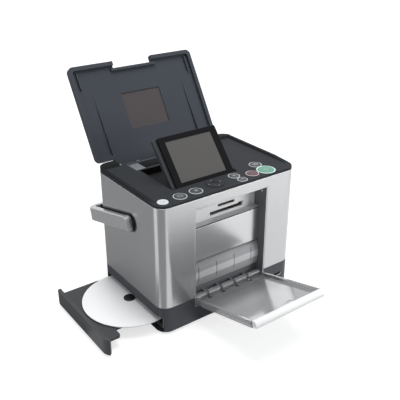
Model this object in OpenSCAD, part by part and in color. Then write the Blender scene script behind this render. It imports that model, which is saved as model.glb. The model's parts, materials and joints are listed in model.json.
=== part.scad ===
// Compact photo printer, standing open: lid raised, screen tilted up, paper tray
// let down at the front, disc tray half out at the side, carrying handle behind.
// Lengths in millimetres. X runs to the right of the machine, Y to its back, Z up.

/* [Casing] */
// Width of the casing
body_w = 208; // [200:1:220]
// Room in front of the disc and behind it inside the casing's depth
disc_side = 13; // [12:0.5:16]
// Radius of the upright corners
corner_r = 15; // [10:0.5:18]
// Height of the operating deck above the table
deck_z = 172.5; // [170:0.5:180]
// Height of the seam between base and upper shell
seam_z = 37; // [36:0.5:39]
// Height of the rubber feet
foot_h = 2; // [1.5:0.5:4]
// Wall thickness of the mouldings
wall = 2.6; // [2:0.1:3]

/* [Front recess] */
// Width of the recess that the output tray folds into
recess_w = 108.6; // [104:0.2:112]
// Top edge of the recess
recess_top = 156; // [154:0.5:160]
// Depth of the recess at the memory card panel
card_depth = 22; // [20:0.5:27]
// Height of the ledge under the memory card panel
ledge_z = 125.5; // [118:0.5:129]

/* [Lid] */
// How far the lid's sides stay inside the casing's
lid_side = 8; // [5:0.5:11]
// Thickness of the lid
lid_t = 8; // [6:0.5:10]
// How far the lid stands open, in degrees
lid_open = 121; // [100:1:125]
// Size of the clear window in the lid
window_w = 60; // [50:1:70]

/* [Screen] */
// Width of the screen housing
lcd_w = 92.5; // [88:0.5:94]
// Length of the screen housing
lcd_len = 68; // [64:0.5:68.5]
// Thickness of the screen housing
lcd_t = 7; // [6:0.25:7.5]
// How far the screen is tilted up, in degrees
lcd_tilt = 50; // [30:1:65]

/* [Handle] */
// Gap for the fingers between casing and handle
hand_gap = 9.8; // [8:0.2:14]
// Height of the handle strap
strap_h = 18; // [14:0.5:20]
// Thickness of the handle strap
strap_t = 8; // [6:0.5:10]
// How far the handle droops behind, in degrees
handle_droop = 14.5; // [10:0.5:16]

/* [Output tray] */
// Length of the output tray from its hinge
tray_len = 118; // [112:0.5:119]
// Depth of the output tray's side rims
tray_t = 8; // [7:0.5:9]
// How far the open tray rises to the front, in degrees
tray_rise = 15.5; // [10:0.5:20]

/* [Disc drive] */
// Radius of the disc
disc_r = 60; // [40:1:60]
// How far the disc tray stands out
disc_out = 73; // [40:1:80]
// Height of the disc tray's front
bezel_h = 20.8; // [18:0.2:20.8]

/* [Buttons] */
// Radius of the round deck buttons
button_r = 7; // [5:0.25:7.25]
// Radius of the start button
start_r = 10; // [7:0.25:10.5]
// How far the buttons stand above the deck
button_h = 0.8; // [0.4:0.1:1.2]

/* [Paper feed] */
// Width of the paper path
paper_w = 104; // [102:1:106]
// Radius of the feed roller's rubber
feed_r = 9; // [7:0.5:9.5]

/* [Hidden] */
// Fits
slide_gap = 0.4;
pin_gap = 0.05;
fine = 64;
small = 32;
eps = 0.01;

// Casing
body_d = 2 * (disc_r + disc_side);
half_w = body_w / 2;
half_d = body_d / 2;
deck_edge = 1.2;
tub_edge = 2;
deck_t = 3;
shell_top = deck_z - deck_t;
seam_gap = 0.7;
floor_t = 2.5;
floor_z = foot_h + floor_t;

// Front recess
recess_x = recess_w / 2;
liner_t = 1.5;
recess_bottom = 26;
card_y = -half_d + card_depth;
liner_back = -half_d + 28;
panel_y = -half_d + 12;
panel_t = 2;
exit_top = 79;
exit_low = 75.5;
guide_low = 42;

// Lid, drawn shut and then turned open about its hinge
lid_hinge_y = half_d - 4;
lid_hinge_z = deck_z - 6.64;
lid_low = deck_z + 2.5;
lid_rear = half_d - 17;
lid_front = -half_d;
lid_r = 7;
lid_w = body_w - 2 * lid_side;
lid_tail_x = half_w - 34;
lid_edge = 2.4;
lid_pin_r = 1.8;
lid_knuckle_r = 3.4;
lid_rim = 5.5;

// Screen, drawn lying flat and then turned up about its hinge
lcd_x0 = -61.5;
lcd_x1 = lcd_x0 + lcd_w;
lcd_hinge_y = -half_d + 39;
lcd_edge = 1.2;
lcd_hinge_z = deck_z - 3.5;
lcd_face = deck_z + 0.4;
lcd_front = lcd_hinge_y - 3.7;
lcd_pin_r = 1.5;
lcd_grip = 6;
well_gap = 1.7;
well_floor = deck_z - 9.1;
well_x0 = lcd_x0 - well_gap;
well_x1 = lcd_x1 + well_gap;
well_y0 = lcd_front - 2.3;
well_y1 = lcd_front + lcd_len + 1.2;
well_t = 1.5;

// Handle
pivot_y = -4.3;
pivot_z = 128.7;
handle_reach = (half_d - pivot_y + hand_gap) / cos(handle_droop) + strap_t;
strap_edge = 1.6;
hub_r = 8.5;
arm_in = half_w + 0.6;
arm_out = arm_in + strap_t;
strap_corner = 14;
handle_pin_r = 4;
pocket_r = 10.6;
pocket_depth = 5;
pocket_t = 1.8;
pocket_lead = 7.5;
arm_lead = 10;
nose_r = 7;

// Output tray, drawn level and then turned up about its hinge
tray_hinge_y = -half_d + 7;
tray_hinge_z = 31.4;
tray_x = recess_x - 0.7;
tray_pin_r = 1.6;
tray_floor = 2;
tray_rim = 3.2;
tray_top = 1;

// Disc drive
bezel_t = 4.5;
bezel_z = 3.2;
bezel_y1 = half_d - 11;
plate_z = 11.6;
plate_t = 3;
disc_z = 16.2;
disc_t = 1.2;
disc_hole_r = 7.5;
disc_x = -half_w - 2.4;
drive_x0 = -half_w + 7;
drive_x1 = disc_x + disc_out + disc_r + 11.4;
drive_y = disc_r + 4;
drive_back = bezel_y1 + 3;
drive_z0 = floor_z;
drive_z1 = 22;
drive_t = 1;

// Buttons: x, y, radius
power_at = [-0.875 * half_w, -half_d + 12, 6.6];
menu_at = [-0.64 * half_w, -half_d + 13.5, button_r];
display_at = [-0.418 * half_w, -half_d + 14.5, button_r];
pad_at = [-0.125 * half_w, -half_d + 18.5, 11.5];
ok_r = 4;
zoom_in_at = [0.188 * half_w, -half_d + 22.5, 6];
zoom_out_at = [0.202 * half_w, -half_d + 8.2, 5];
cancel_at = [0.409 * half_w, -half_d + 15, button_r];
view_at = [0.615 * half_w, -half_d + 34, button_r];
start_at = [0.615 * half_w, -half_d + 14, start_r];
button_gap = 0.35;
button_stem_r = 2.2;
button_edge = 0.5;

// Feed opening and chute
feed_x = paper_w / 2 + 14;
feed_y0 = well_y1 + well_t + liner_t + 1.2;
feed_y1 = half_d - 15;
guide_x = -paper_w / 2 - 0.5;

// Print engine, counted from the front of the casing
engine_y = -half_d + 73;
side_x = feed_x + 8;
side_t = 1.4;
chassis_z = 41;
feed_teeth = 50;
feed_y = engine_y + 12;
feed_z = 80;
shaft_r = 3;
exit_y = engine_y - 48;
exit_z = 70;
exit_r = 5;
gear_x = side_x + side_t + 1.2;
gear_w = 4;
tooth = 0.8;
idler_teeth = 40;
exit_teeth = 22;
motor_teeth = 15;
mesh_slack = 0.12;
motor_dir = -50;
exit_dir = 180 + atan2(feed_z - exit_z, feed_y - exit_y);
rail_y = engine_y - 22;
rail_z = 97;
rail_r = 3;
pulley_x = side_x - 10;
pulley_z = 112;
pulley_r = 6;
belt_y = engine_y - 9;
belt_w = 4;
belt_t = 1;

// Back of the casing
door_x0 = -half_w + 42;
door_x1 = door_x0 + 60;
door_z0 = 46;
door_z1 = 86;
door_t = 2.4;

// Whole machine, for centring on its footprint
reach_left = half_w + disc_out + 0.4;
reach_right = arm_out;
reach_front = -tray_hinge_y + tray_len * cos(tray_rise) + 4.6 * sin(tray_rise);
lid_arm = lid_hinge_y - lid_front;
lid_rise = lid_low - lid_hinge_z + lid_t;
reach_back = lid_hinge_y - lid_arm * cos(lid_open) + lid_rise * sin(lid_open);
shift_x = (reach_left - reach_right) / 2;
shift_y = (reach_front - reach_back) / 2;

// Colours
silver = [0.62, 0.64, 0.66];
charcoal = [0.16, 0.17, 0.19];
graphite = [0.24, 0.26, 0.29];
black = [0.04, 0.04, 0.04];
pale = [0.85, 0.85, 0.84];
smoke = [0.6, 0.62, 0.63, 0.6];
steel = [0.7, 0.71, 0.72];
green = [0.3, 0.65, 0.5];
copper = [0.1, 0.35, 0.2];

// ---------------------------------------------------------------- helpers

module placed() {
    translate([shift_x, shift_y, 0])
        children();
}

module block(x0, x1, y0, y1, z0, z1) {
    translate([x0, y0, z0])
        cube([x1 - x0, y1 - y0, z1 - z0]);
}

// Profile in (Y, Z), drawn out along X
module along_x(x0, x1) {
    translate([x0, 0, 0])
        rotate([90, 0, 90])
            linear_extrude(height = x1 - x0)
                children();
}

// Profile in (X, Z), drawn out along Y
module along_y(y0, y1) {
    translate([0, y1, 0])
        rotate([90, 0, 0])
            linear_extrude(height = y1 - y0)
                children();
}

module rod_x(x0, x1, y, z, r) {
    translate([x0, y, z])
        rotate([0, 90, 0])
            cylinder(h = x1 - x0, r = r, $fn = fine);
}

module rod_y(y0, y1, x, z, r) {
    translate([x, y1, z])
        rotate([90, 0, 0])
            cylinder(h = y1 - y0, r = r, $fn = fine);
}

module round_rect(w, d, r) {
    square([w - 2 * r, d], center = true);
    square([w, d - 2 * r], center = true);
    for (sx = [-1, 1])
        for (sy = [-1, 1])
            translate([sx * (w / 2 - r), sy * (d / 2 - r)])
                circle(r = r, $fn = fine);
}

module round_slab(w, d, r, z0, z1) {
    translate([0, 0, z0])
        linear_extrude(height = z1 - z0)
            round_rect(w, d, r);
}

// Outline of a plate on edge, its two upper corners rounded over
module rim_profile(w, z0, z1, edge) {
    translate([-w / 2, z0])
        square([w, z1 - z0 - edge]);
    translate([-w / 2 + edge, z0])
        square([w - 2 * edge, z1 - z0]);
    for (sx = [-1, 1])
        translate([sx * (w / 2 - edge), z1 - edge])
            circle(r = edge, $fn = small);
}

// Turned disc with its upper rim rounded over
module soft_disc(r, z0, z1, edge) {
    rotate_extrude($fn = fine)
        intersection() {
            rim_profile(2 * r, z0, z1, edge);
            translate([0, z0])
                square([r, z1 - z0]);
        }
}

// Slab with rounded corners and its upper rim rounded over
module soft_slab(w, d, r, z0, z1, edge) {
    for (sx = [-1, 1])
        for (sy = [-1, 1])
            translate([sx * (w / 2 - r), sy * (d / 2 - r), 0])
                soft_disc(r, z0, z1, edge);
    along_x(-w / 2 + r, w / 2 - r)
        rim_profile(d, z0, z1, edge);
    along_y(-d / 2 + r, d / 2 - r)
        rim_profile(w, z0, z1, edge);
}

// The same with its lower rim rounded over
module soft_tub(w, d, r, z0, z1, edge) {
    translate([0, 0, z0 + z1])
        mirror([0, 0, 1])
            soft_slab(w, d, r, z0, z1, edge);
}

// Rectangle with rounded corners by its edges
module round_box(x0, x1, y0, y1, r) {
    translate([(x0 + x1) / 2, (y0 + y1) / 2])
        round_rect(x1 - x0, y1 - y0, r);
}

module turned(y, z, angle) {
    translate([0, y, z])
        rotate([angle, 0, 0])
            translate([0, -y, -z])
                children();
}

// ---------------------------------------------------------------- casing

boss_r = 4;
boss_x = half_w - 11;
boss_y = half_d - 11;
post_gap = 4.2;
post_x = recess_x + liner_t + boss_r + post_gap;
post_y = half_d - 11;
screw_r = 1.4;
head_r = 3;
head_h = 1.4;

module boss_columns(z0, z1, rear_z1, sides) {
    for (sx = sides)
        for (sy = [-1, 1]) {
            post_z1 = sy > 0 ? rear_z1 : z1;
            translate([sx * boss_x, sy * boss_y, z0])
                cylinder(h = z1 - z0, r = boss_r, $fn = small);
            translate([sx * (half_w - wall - 4), sy * boss_y, (z0 + z1) / 2])
                cube([9, 1.6, z1 - z0], center = true);
            translate([sx * post_x, sy * post_y, z0])
                cylinder(h = post_z1 - z0, r = boss_r, $fn = small);
            translate([sx * post_x, sy * (half_d - wall - 3), (z0 + post_z1) / 2])
                cube([1.6, 7, post_z1 - z0], center = true);
        }
}

// Plan of the slot for the disc tray's front, running round to the middle of
// the front left corner
module bezel_plan(grow) {
    inner = half_w - 6.5 - grow;
    bend_x = half_w - corner_r;
    bend_y = half_d - corner_r;
    diag = cos(45);
    near = 9.5 - grow;
    far = corner_r + 6;
    skew = grow * diag;
    polygon([
        [-half_w - 6, bezel_y1 + grow],
        [-inner, bezel_y1 + grow],
        [-inner, -bend_y + near * diag - 8],
        [-bend_x - near * diag + skew, -bend_y - near * diag - skew],
        [-bend_x - far * diag + skew, -bend_y - far * diag - skew],
        [-half_w - 6, -bend_y - far * diag - skew]
    ]);
}

module base_case() {
    color(charcoal)
    placed()
    difference() {
        union() {
            difference() {
                soft_tub(body_w, body_d, corner_r, foot_h, seam_z, tub_edge);
                round_slab(body_w - 2 * wall, body_d - 2 * wall, corner_r - wall, floor_z, seam_z + 1);
            }
            // Stand-offs of the main board
            for (x = [board_x0 + 4, board_x1 - 6])
                for (y = [board_y0 + 6, board_y1 - 6])
                    translate([x, y, floor_z - eps])
                        cylinder(h = board_z - floor_z + eps, r = 3, $fn = small);
        }
        // Slot for the disc tray
        translate([0, 0, bezel_z - slide_gap])
            linear_extrude(height = bezel_h + 2 * slide_gap)
                bezel_plan(slide_gap);
        // Notch that the output tray's hinge sits in
        block(-recess_x - liner_t, recess_x + liner_t, -half_d - 1, -half_d + 16.5,
              recess_bottom - liner_t - 1, seam_z + 1);
        // Camera socket
        block(camera_x - 6.8, camera_x + 6.8, -half_d - 1, -half_d + wall + 1, camera_z - 2.8,
              camera_z + 2.8);
        // Screw holes with sunk heads
        for (sy = [-1, 1])
            for (at = [[boss_x, boss_y], [post_x, post_y]])
                translate([at[0], sy * at[1], foot_h - 1]) {
                    cylinder(h = floor_t + 2, r = screw_r, $fn = small);
                    cylinder(h = 1 + head_h, r = head_r + 0.2, $fn = small);
                }
        // Air slots in the floor
        for (i = [0 : 6])
            block(half_w - 52 + i * 5, half_w - 49.5 + i * 5, -30, 30, foot_h - 1, floor_z + 1);
    }
}

module base_screws() {
    color(steel)
    placed()
    for (sy = [-1, 1])
        for (at = [[boss_x, boss_y], [post_x, post_y]])
            translate([at[0], sy * at[1], foot_h])
                difference() {
                    union() {
                        cylinder(h = head_h, r = head_r, $fn = small);
                        cylinder(h = 11, r = screw_r, $fn = small);
                    }
                    for (turn = [0, 90])
                        rotate([0, 0, turn])
                            translate([0, 0, 0.3])
                                cube([3.4, 0.8, 1], center = true);
                }
}

foot_x = half_w - 16;
foot_y = half_d - 13;
foot_r = 7;

module rubber_feet() {
    color(pale)
    placed()
    for (sx = [-1, 1])
        for (sy = [-1, 1])
            translate([sx * foot_x, sy * (foot_y - (sx > 0 ? 15 : 0)), 0])
                cylinder(h = foot_h, r = foot_r, $fn = fine);
}

module pocket_shape(grow) {
    translate([pivot_y, pivot_z])
        rotate(-handle_droop)
            translate([-pocket_lead, 0]) {
                circle(r = pocket_r + grow, $fn = fine);
                translate([0, -pocket_r - grow])
                    square([handle_reach + pocket_lead, 2 * (pocket_r + grow)]);
            }
}

knuckle_x = lid_tail_x - 13;
knuckles = [for (x = [-knuckle_x, -1, knuckle_x]) [x - 7, x + (abs(x) > 1 ? 7 : 9)]];
lug_out = lid_tail_x + 1;
lug_in = lid_tail_x - 28;
lugs = [[-lug_out - 5, -lug_out], [-lug_in - 4, -lug_in], [lug_in, lug_in + 4], [lug_out, lug_out + 5]];

module shell_sleeve() {
    difference() {
        round_slab(body_w, body_d, corner_r, seam_z, shell_top);
        round_slab(body_w - 2 * wall, body_d - 2 * wall, corner_r - wall, seam_z - 1, shell_top + 1);
        // Shadow groove along the seam
        difference() {
            round_slab(body_w + 2, body_d + 2, corner_r + 1, seam_z - eps, seam_z + seam_gap);
            round_slab(body_w - 1.6, body_d - 1.6, corner_r - 0.8, seam_z - 1, seam_z + seam_gap + 1);
        }
    }
}

module handle_pockets() {
    along_x(-half_w - 1, -half_w + pocket_depth + pocket_t)
        pocket_shape(pocket_t);
    along_x(half_w - pocket_depth - pocket_t, half_w + 1)
        pocket_shape(pocket_t);
}

module outer_shell() {
    color(silver)
    placed()
    difference() {
        shell_sleeve();
        // Front recess
        block(-recess_x - liner_t, recess_x + liner_t, -half_d - 1, card_y, seam_z - 1, recess_top + liner_t);
        // Side pockets behind the handle's arms
        handle_pockets();
        // Back, which the rear panel closes
        block(-rear_x, rear_x, half_d - wall - 1, half_d + 1, seam_z - 1, shell_top + 1);
    }
}

rear_x = half_w - corner_r - 1;
rear_top = lid_hinge_z - 4.4;

module rear_panel() {
    color(silver)
    placed()
    difference() {
        intersection() {
            shell_sleeve();
            block(-rear_x, rear_x, half_d - wall, half_d, seam_z, rear_top);
        }
        // Fine upright grooves beside the shell
        for (sx = [-1, 1])
            block(sx * rear_x - 0.4, sx * rear_x + 0.4, half_d - 0.6, half_d + 1, seam_z - 1, rear_top + 1);
        // Windows for the lid's knuckles
        for (k = knuckles)
            block(k[0] - 1, k[1] + 1, half_d - 12, half_d + 1, lid_hinge_z - 9, shell_top + 1);
        // Cartridge door and its pin sockets
        block(door_x0, door_x1, half_d - wall - 2, half_d + 1, door_z0, door_z1);
        rod_x(door_x0 - 3, door_x1 + 3, door_y, door_pivot_z, door_pin_r + pin_gap);
        // Sockets
        rod_y(half_d - wall - 1, half_d + 1, inlet_x, inlet_z, inlet_r + 1.2);
        block(socket_x - 6.2, socket_x + 6.2, half_d - wall - 1, half_d + 1, inlet_z - 5.7, inlet_z + 5.7);
        // Cooling slots
        for (i = [0 : 8])
            along_y(half_d - wall - 1, half_d + 1)
                round_box(half_w - 86 + i * 6, half_w - 83.4 + i * 6, 100, 138, 1.29);
    }
}

// Posts of base and shell that the screws from below run into
module screw_posts() {
    color(charcoal)
    placed()
    difference() {
        intersection() {
            union() {
                boss_columns(floor_z, shell_top - 9, lid_hinge_z - 26, [1]);
                boss_columns(drive_z1 + 2, shell_top - 9, lid_hinge_z - 26, [-1]);
            }
            round_slab(body_w - 2 * wall, body_d - 2 * wall, corner_r - wall, floor_z, shell_top);
        }
        handle_pockets();
        rod_x(door_x0 - 3, door_x1 + 3, door_y, door_pivot_z, door_pin_r + pin_gap);
        for (sy = [-1, 1])
            for (at = [[boss_x, boss_y], [post_x, post_y]])
                translate([at[0], sy * at[1], floor_z - 1])
                    cylinder(h = 10, r = screw_r, $fn = small);
    }
}

block_h = 3.6;
rim_h = 3;
rim_top = 3.8;
rim_foot = 7;

module deck_plan(z0, z1) {
    round_slab(body_w - 0.6, body_d - 0.6, corner_r - 0.3, z0, z1);
}

module top_deck() {
    color(graphite)
    placed()
    difference() {
        union() {
            soft_slab(body_w - 0.6, body_d - 0.6, corner_r - 0.3, shell_top, deck_z, deck_edge);
            // Skirt inside the shell
            difference() {
                round_slab(body_w - 2 * wall - 0.4, body_d - 2 * wall - 0.4,
                      corner_r - wall - 0.2, shell_top - 5, shell_top + 1);
                round_slab(body_w - 2 * wall - 3.6, body_d - 2 * wall - 3.6,
                      corner_r - wall - 1.8, shell_top - 6, shell_top + eps);
            }
            // Raised blocks on the rear corners
            for (sx = [-1, 1])
                intersection() {
                    along_x(sx > 0 ? lugs[3][1] + 1 : -half_w, sx > 0 ? half_w : lugs[0][0] - 1)
                        polygon([
                            [lid_rear + 1.5, deck_z - 1],
                            [lid_rear + 1.5, deck_z],
                            [lid_rear + 5, deck_z + block_h],
                            [half_d, deck_z + block_h],
                            [half_d, deck_z - 1]
                        ]);
                    deck_plan(shell_top, deck_z + 10);
                }
            // Rims along the sides, falling away to the front
            for (sx = [-1, 1])
                intersection() {
                    along_y(-half_d, half_d - 2)
                        polygon([
                            [sx * half_w, deck_z - 1],
                            [sx * half_w, deck_z + block_h],
                            [sx * (half_w - rim_top), deck_z + block_h],
                            [sx * (half_w - rim_foot), deck_z - 0.2],
                            [sx * (half_w - rim_foot), deck_z - 1]
                        ]);
                    along_x(-half_w, half_w)
                        polygon([
                            [-half_d, deck_z - 1],
                            [-half_d + 5, deck_z - 0.2],
                            [-half_d + 40, deck_z + rim_h - 0.6],
                            [lid_rear, deck_z + rim_h],
                            [half_d, deck_z + rim_h],
                            [half_d, deck_z - 1]
                        ]);
                    deck_plan(shell_top, deck_z + 10);
                }
        }
        // Screen well
        block(well_x0 - well_t, well_x1 + well_t, well_y0 - well_t, well_y1 + well_t,
              shell_top - 9, deck_z + 1);
        // Paper feed opening
        block(-feed_x - liner_t, feed_x + liner_t, feed_y0 - liner_t, feed_y1 + liner_t,
              shell_top - 9, deck_z + 1);
        // Clearance for the lid's tail and hinge
        block(lugs[0][0] - 1, lugs[3][1] + 1, feed_y1 + liner_t + 2, half_d + 1, shell_top - 9, deck_z + 1);
        // Button holes
        for (b = [power_at, menu_at, display_at, pad_at, zoom_in_at, zoom_out_at, cancel_at, view_at, start_at])
            translate([b[0], b[1], shell_top - 1])
                cylinder(h = deck_t + 2, r = b[2] + button_gap, $fn = fine);
    }
}

module lcd_well() {
    color(black)
    placed()
    difference() {
        block(well_x0 - well_t, well_x1 + well_t, well_y0 - well_t, well_y1 + well_t,
              well_floor - well_t, deck_z - 0.2);
        block(well_x0, well_x1, well_y0, well_y1, well_floor, deck_z + 1);
        // Sockets for the screen's stub pins
        rod_x(well_x0 - well_t - 1, well_x1 + well_t + 1, lcd_hinge_y, lcd_hinge_z, lcd_pin_r + pin_gap);
        // Cable slot
        block(-20, -4, well_y0 + 1.5, well_y0 + 4, well_floor - well_t - 1, well_floor + 1);
    }
}

// ---------------------------------------------------------------- front recess

comb_xs = [-33.5, -12, 9.5, 31];

module recess_liner() {
    color(charcoal)
    placed()
    difference() {
        union() {
            difference() {
                block(-recess_x - liner_t, recess_x + liner_t, -half_d + 0.2, liner_back,
                      recess_bottom - liner_t - 1, recess_top + liner_t);
                block(-recess_x, recess_x, -half_d - 1, liner_back + 1, recess_bottom - 1, recess_top);
                // Open behind the tray's notch, above the drive
                block(-recess_x - 2, recess_x + 2, -half_d + 16, liner_back + 1,
                      recess_bottom - liner_t - 2, guide_low - 1);
            }
            // Back of the notch
            block(-recess_x, recess_x, -half_d + 15, -half_d + 16, recess_bottom - 1, guide_low);
            // Fixed comb standing in the tray's slots
            for (x = comb_xs)
                along_x(x - 1.5, x + 1.5)
                    polygon([
                        [-half_d + 15.5, recess_bottom - 1],
                        [-half_d + 15.5, tray_hinge_z + 3],
                        [tray_hinge_y + 1, tray_hinge_z + 3.4],
                        [tray_hinge_y - 3, tray_hinge_z + 2.4],
                        [tray_hinge_y - 3, recess_bottom - 1]
                    ]);
        }
        // Pin sockets of the output tray
        rod_x(-recess_x - liner_t - 1, recess_x + liner_t + 1, tray_hinge_y, tray_hinge_z,
              tray_pin_r + pin_gap);
        // Holes for the exit roller's shaft
        rod_x(-recess_x - liner_t - 1, recess_x + liner_t + 1, exit_y, exit_z, shaft_r + slide_gap);
        // Socket of the latch pin
        rod_x(recess_x - 1, recess_x + liner_t + 1, latch_y, latch_z, latch_r);
    }
}

slot_high = [-5, 21, ledge_z + 12, ledge_z + 15.6];
slot_low = [-17.2, 34, ledge_z + 3.7, ledge_z + 8.2];

module card_panel() {
    color(silver)
    placed()
    difference() {
        union() {
            block(-recess_x, recess_x, card_y, card_y + 2, ledge_z - 1.6, recess_top);
            block(-recess_x, recess_x, panel_y, card_y + 1, ledge_z - 1.6, ledge_z);
        }
        block(slot_high[0], slot_high[1], card_y - 1, card_y + 3, slot_high[2], slot_high[3]);
        block(slot_low[0], slot_low[1], card_y - 1, card_y + 3, slot_low[2], slot_low[3]);
        block(slot_low[1] - 7, slot_low[1] + 1.5, card_y - 1, card_y + 3, slot_low[3] - 1, slot_low[3] + 1.6);
    }
}

module inner_panel() {
    color(silver)
    placed()
    block(-recess_x, recess_x, panel_y, panel_y + panel_t, exit_top, ledge_z - 1.6);
}

guide_joints = [-42, -14, 14, 42];

module exit_guide() {
    color(silver)
    placed()
    difference() {
        along_x(-recess_x, recess_x)
            polygon([
                [-half_d + 19, exit_low],
                [-half_d + 15.4, exit_low],
                [-half_d + 13.2, exit_low - 3],
                [-half_d + 11.6, exit_low - 8],
                [-half_d + 10.6, exit_low - 14],
                [-half_d + 10.8, exit_low - 21],
                [-half_d + 12, exit_low - 27],
                [-half_d + 13.6, guide_low],
                [-half_d + 16, guide_low],
                [-half_d + 14, exit_low - 21],
                [-half_d + 14, exit_low - 12],
                [-half_d + 19, exit_low - 2]
            ]);
        for (x = guide_joints)
            block(x - 0.5, x + 0.5, -half_d + 9, -half_d + 12.6, guide_low - 1, exit_low + 1);
    }
}

latch_y = -half_d + 7.5;
latch_z = recess_top - 7;
latch_r = 1.2;

module latch_pin() {
    color(pale)
    placed()
    rod_x(recess_x - 1.4, recess_x + liner_t, latch_y, latch_z, latch_r);
}

module pocket_liner() {
    difference() {
        intersection() {
            union() {
                along_x(-half_w - 1, -half_w + pocket_depth)
                    difference() {
                        pocket_shape(pocket_t);
                        pocket_shape(0);
                    }
                along_x(-half_w + pocket_depth, -half_w + pocket_depth + pocket_t)
                    pocket_shape(pocket_t);
                rod_x(-half_w + 0.2, -half_w + pocket_depth + 1, pivot_y, pivot_z, hub_r);
            }
            round_slab(body_w, body_d, corner_r, seam_z, shell_top);
        }
        rod_x(-half_w - 1, -half_w + 12, pivot_y, pivot_z, handle_pin_r + pin_gap);
    }
}

module pocket_liners() {
    color(black)
    placed() {
        pocket_liner();
        mirror([1, 0, 0])
            pocket_liner();
    }
}

module hinge_bracket() {
    color(silver)
    placed()
    difference() {
        union() {
            block(lugs[0][0], lugs[3][1], half_d - 12, half_d - wall, lid_hinge_z - 12, lid_hinge_z - 8);
            for (lug = lugs)
                along_x(lug[0], lug[1]) {
                    translate([lid_hinge_y, lid_hinge_z])
                        circle(r = lid_knuckle_r, $fn = fine);
                    translate([lid_hinge_y - lid_knuckle_r, lid_hinge_z - 10])
                        square([half_d - wall - lid_hinge_y + lid_knuckle_r, 10]);
                }
            // Outer lugs stand up beside the lid's tail
            for (lug = [lugs[0], lugs[3]])
                along_x(lug[0], lug[1])
                    translate([lid_hinge_y - lid_knuckle_r - 3, lid_hinge_z - 10])
                        square([5, 15.5]);
        }
        rod_x(lugs[0][0] - 1, lugs[3][1] + 1, lid_hinge_y, lid_hinge_z, lid_pin_r + pin_gap);
    }
}

module feed_chute() {
    color(charcoal)
    placed()
    difference() {
        union() {
            along_x(-feed_x - liner_t, feed_x + liner_t)
                polygon([
                    [feed_y0 - liner_t, deck_z - 0.4],
                    [feed_y1 + liner_t, deck_z - 0.4],
                    [feed_y1 + liner_t, deck_z - 26],
                    [engine_y + 31.5, 96],
                    [engine_y + 14.5, 96],
                    [feed_y0 - liner_t, deck_z - 24]
                ]);
        }
        along_x(-feed_x, feed_x)
            polygon([
                [feed_y0, deck_z + 1],
                [feed_y1, deck_z + 1],
                [feed_y1, deck_z - 26.4],
                [engine_y + 29.2, 95],
                [engine_y + 16.6, 95],
                [feed_y0, deck_z - 24.6]
            ]);
    }
}

// ---------------------------------------------------------------- print engine

module chassis_frame() {
    color(steel)
    placed()
    difference() {
        union() {
            for (sx = [-1, 1])
                along_x(sx > 0 ? side_x : -side_x - side_t, sx > 0 ? side_x + side_t : -side_x)
                    translate([engine_y, 0])
                        polygon([
                            [-57, chassis_z], [47, chassis_z], [47, 84], [32, 100], [20, 124],
                            [-36, 124], [-40, 84], [-57, 80]
                        ]);
            block(-side_x - eps, side_x + eps, engine_y - 40, engine_y + 32, chassis_z, chassis_z + side_t);
            block(-side_x - eps, side_x + eps, engine_y + 30.6, engine_y + 32, chassis_z, 92);
            block(-side_x - eps, side_x + eps, engine_y - 42, engine_y - 6, 74.4, 75.6);
            // Guide rail of the carriage
            rod_x(-side_x - side_t - 1, side_x + side_t, rail_y, rail_z, rail_r);
            // Shelf of the ink cartridge
            block(door_x0 + 4, door_x1 - 4, engine_y + 31, half_d - 7, door_z0 + 0.6, door_z0 + 2);
            // Legs on the drive housing and on the floor of the base
            for (y = [engine_y - 30, engine_y + 25]) {
                translate([-60, y, drive_z1])
                    cylinder(h = chassis_z - drive_z1 + eps, r = 3.5, $fn = small);
                translate([drive_x1 + 4.5, y, floor_z])
                    cylinder(h = chassis_z - floor_z + eps, r = 3.5, $fn = small);
            }
            // Stand-offs and plate of the feed motor
            for (dz = [-8, 8])
                rod_x(side_x, motor_x + 1.4, motor_y + 8, motor_z + dz, 1.8);
            along_x(motor_x, motor_x + 1.4)
                round_box(motor_y - 12, motor_y + 12, motor_z - 12, motor_z + 12, 3);
            // Plate of the carriage motor and fixed turn-round of the belt
            block(pulley_x - 9.5, side_x + eps, engine_y, engine_y + side_t, pulley_z - 9.5, pulley_z + 9.5);
            block(-side_x - eps, -pulley_x + 7, belt_y + belt_w + 0.6, belt_y + belt_w + 2,
                  pulley_z - 7, pulley_z + 7);
            rod_y(belt_y - 0.5, belt_y + belt_w + 1, -pulley_x, pulley_z, pulley_r - 0.02);
        }
        rod_x(-side_x - 9, side_x + 3, feed_y, feed_z, shaft_r + pin_gap);
        rod_x(-side_x - 9, side_x + 3, exit_y, exit_z, shaft_r + pin_gap);
        rod_x(side_x - 3, side_x + 3, idler_y, idler_z, idler_pin_r + pin_gap);
        rod_x(motor_x - 3, motor_x + 4, motor_y, motor_z, motor_pin_r + pin_gap);
        rod_y(engine_y - 2, engine_y + 4, pulley_x, pulley_z, motor_pin_r + pin_gap);
    }
}

function pitch_r(teeth) = teeth * tooth / 2;
function mesh_turn(turn_a, teeth_a, teeth_b, dir) =
    dir + 180 + (dir - turn_a) * teeth_a / teeth_b + 180 / teeth_b;

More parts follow.
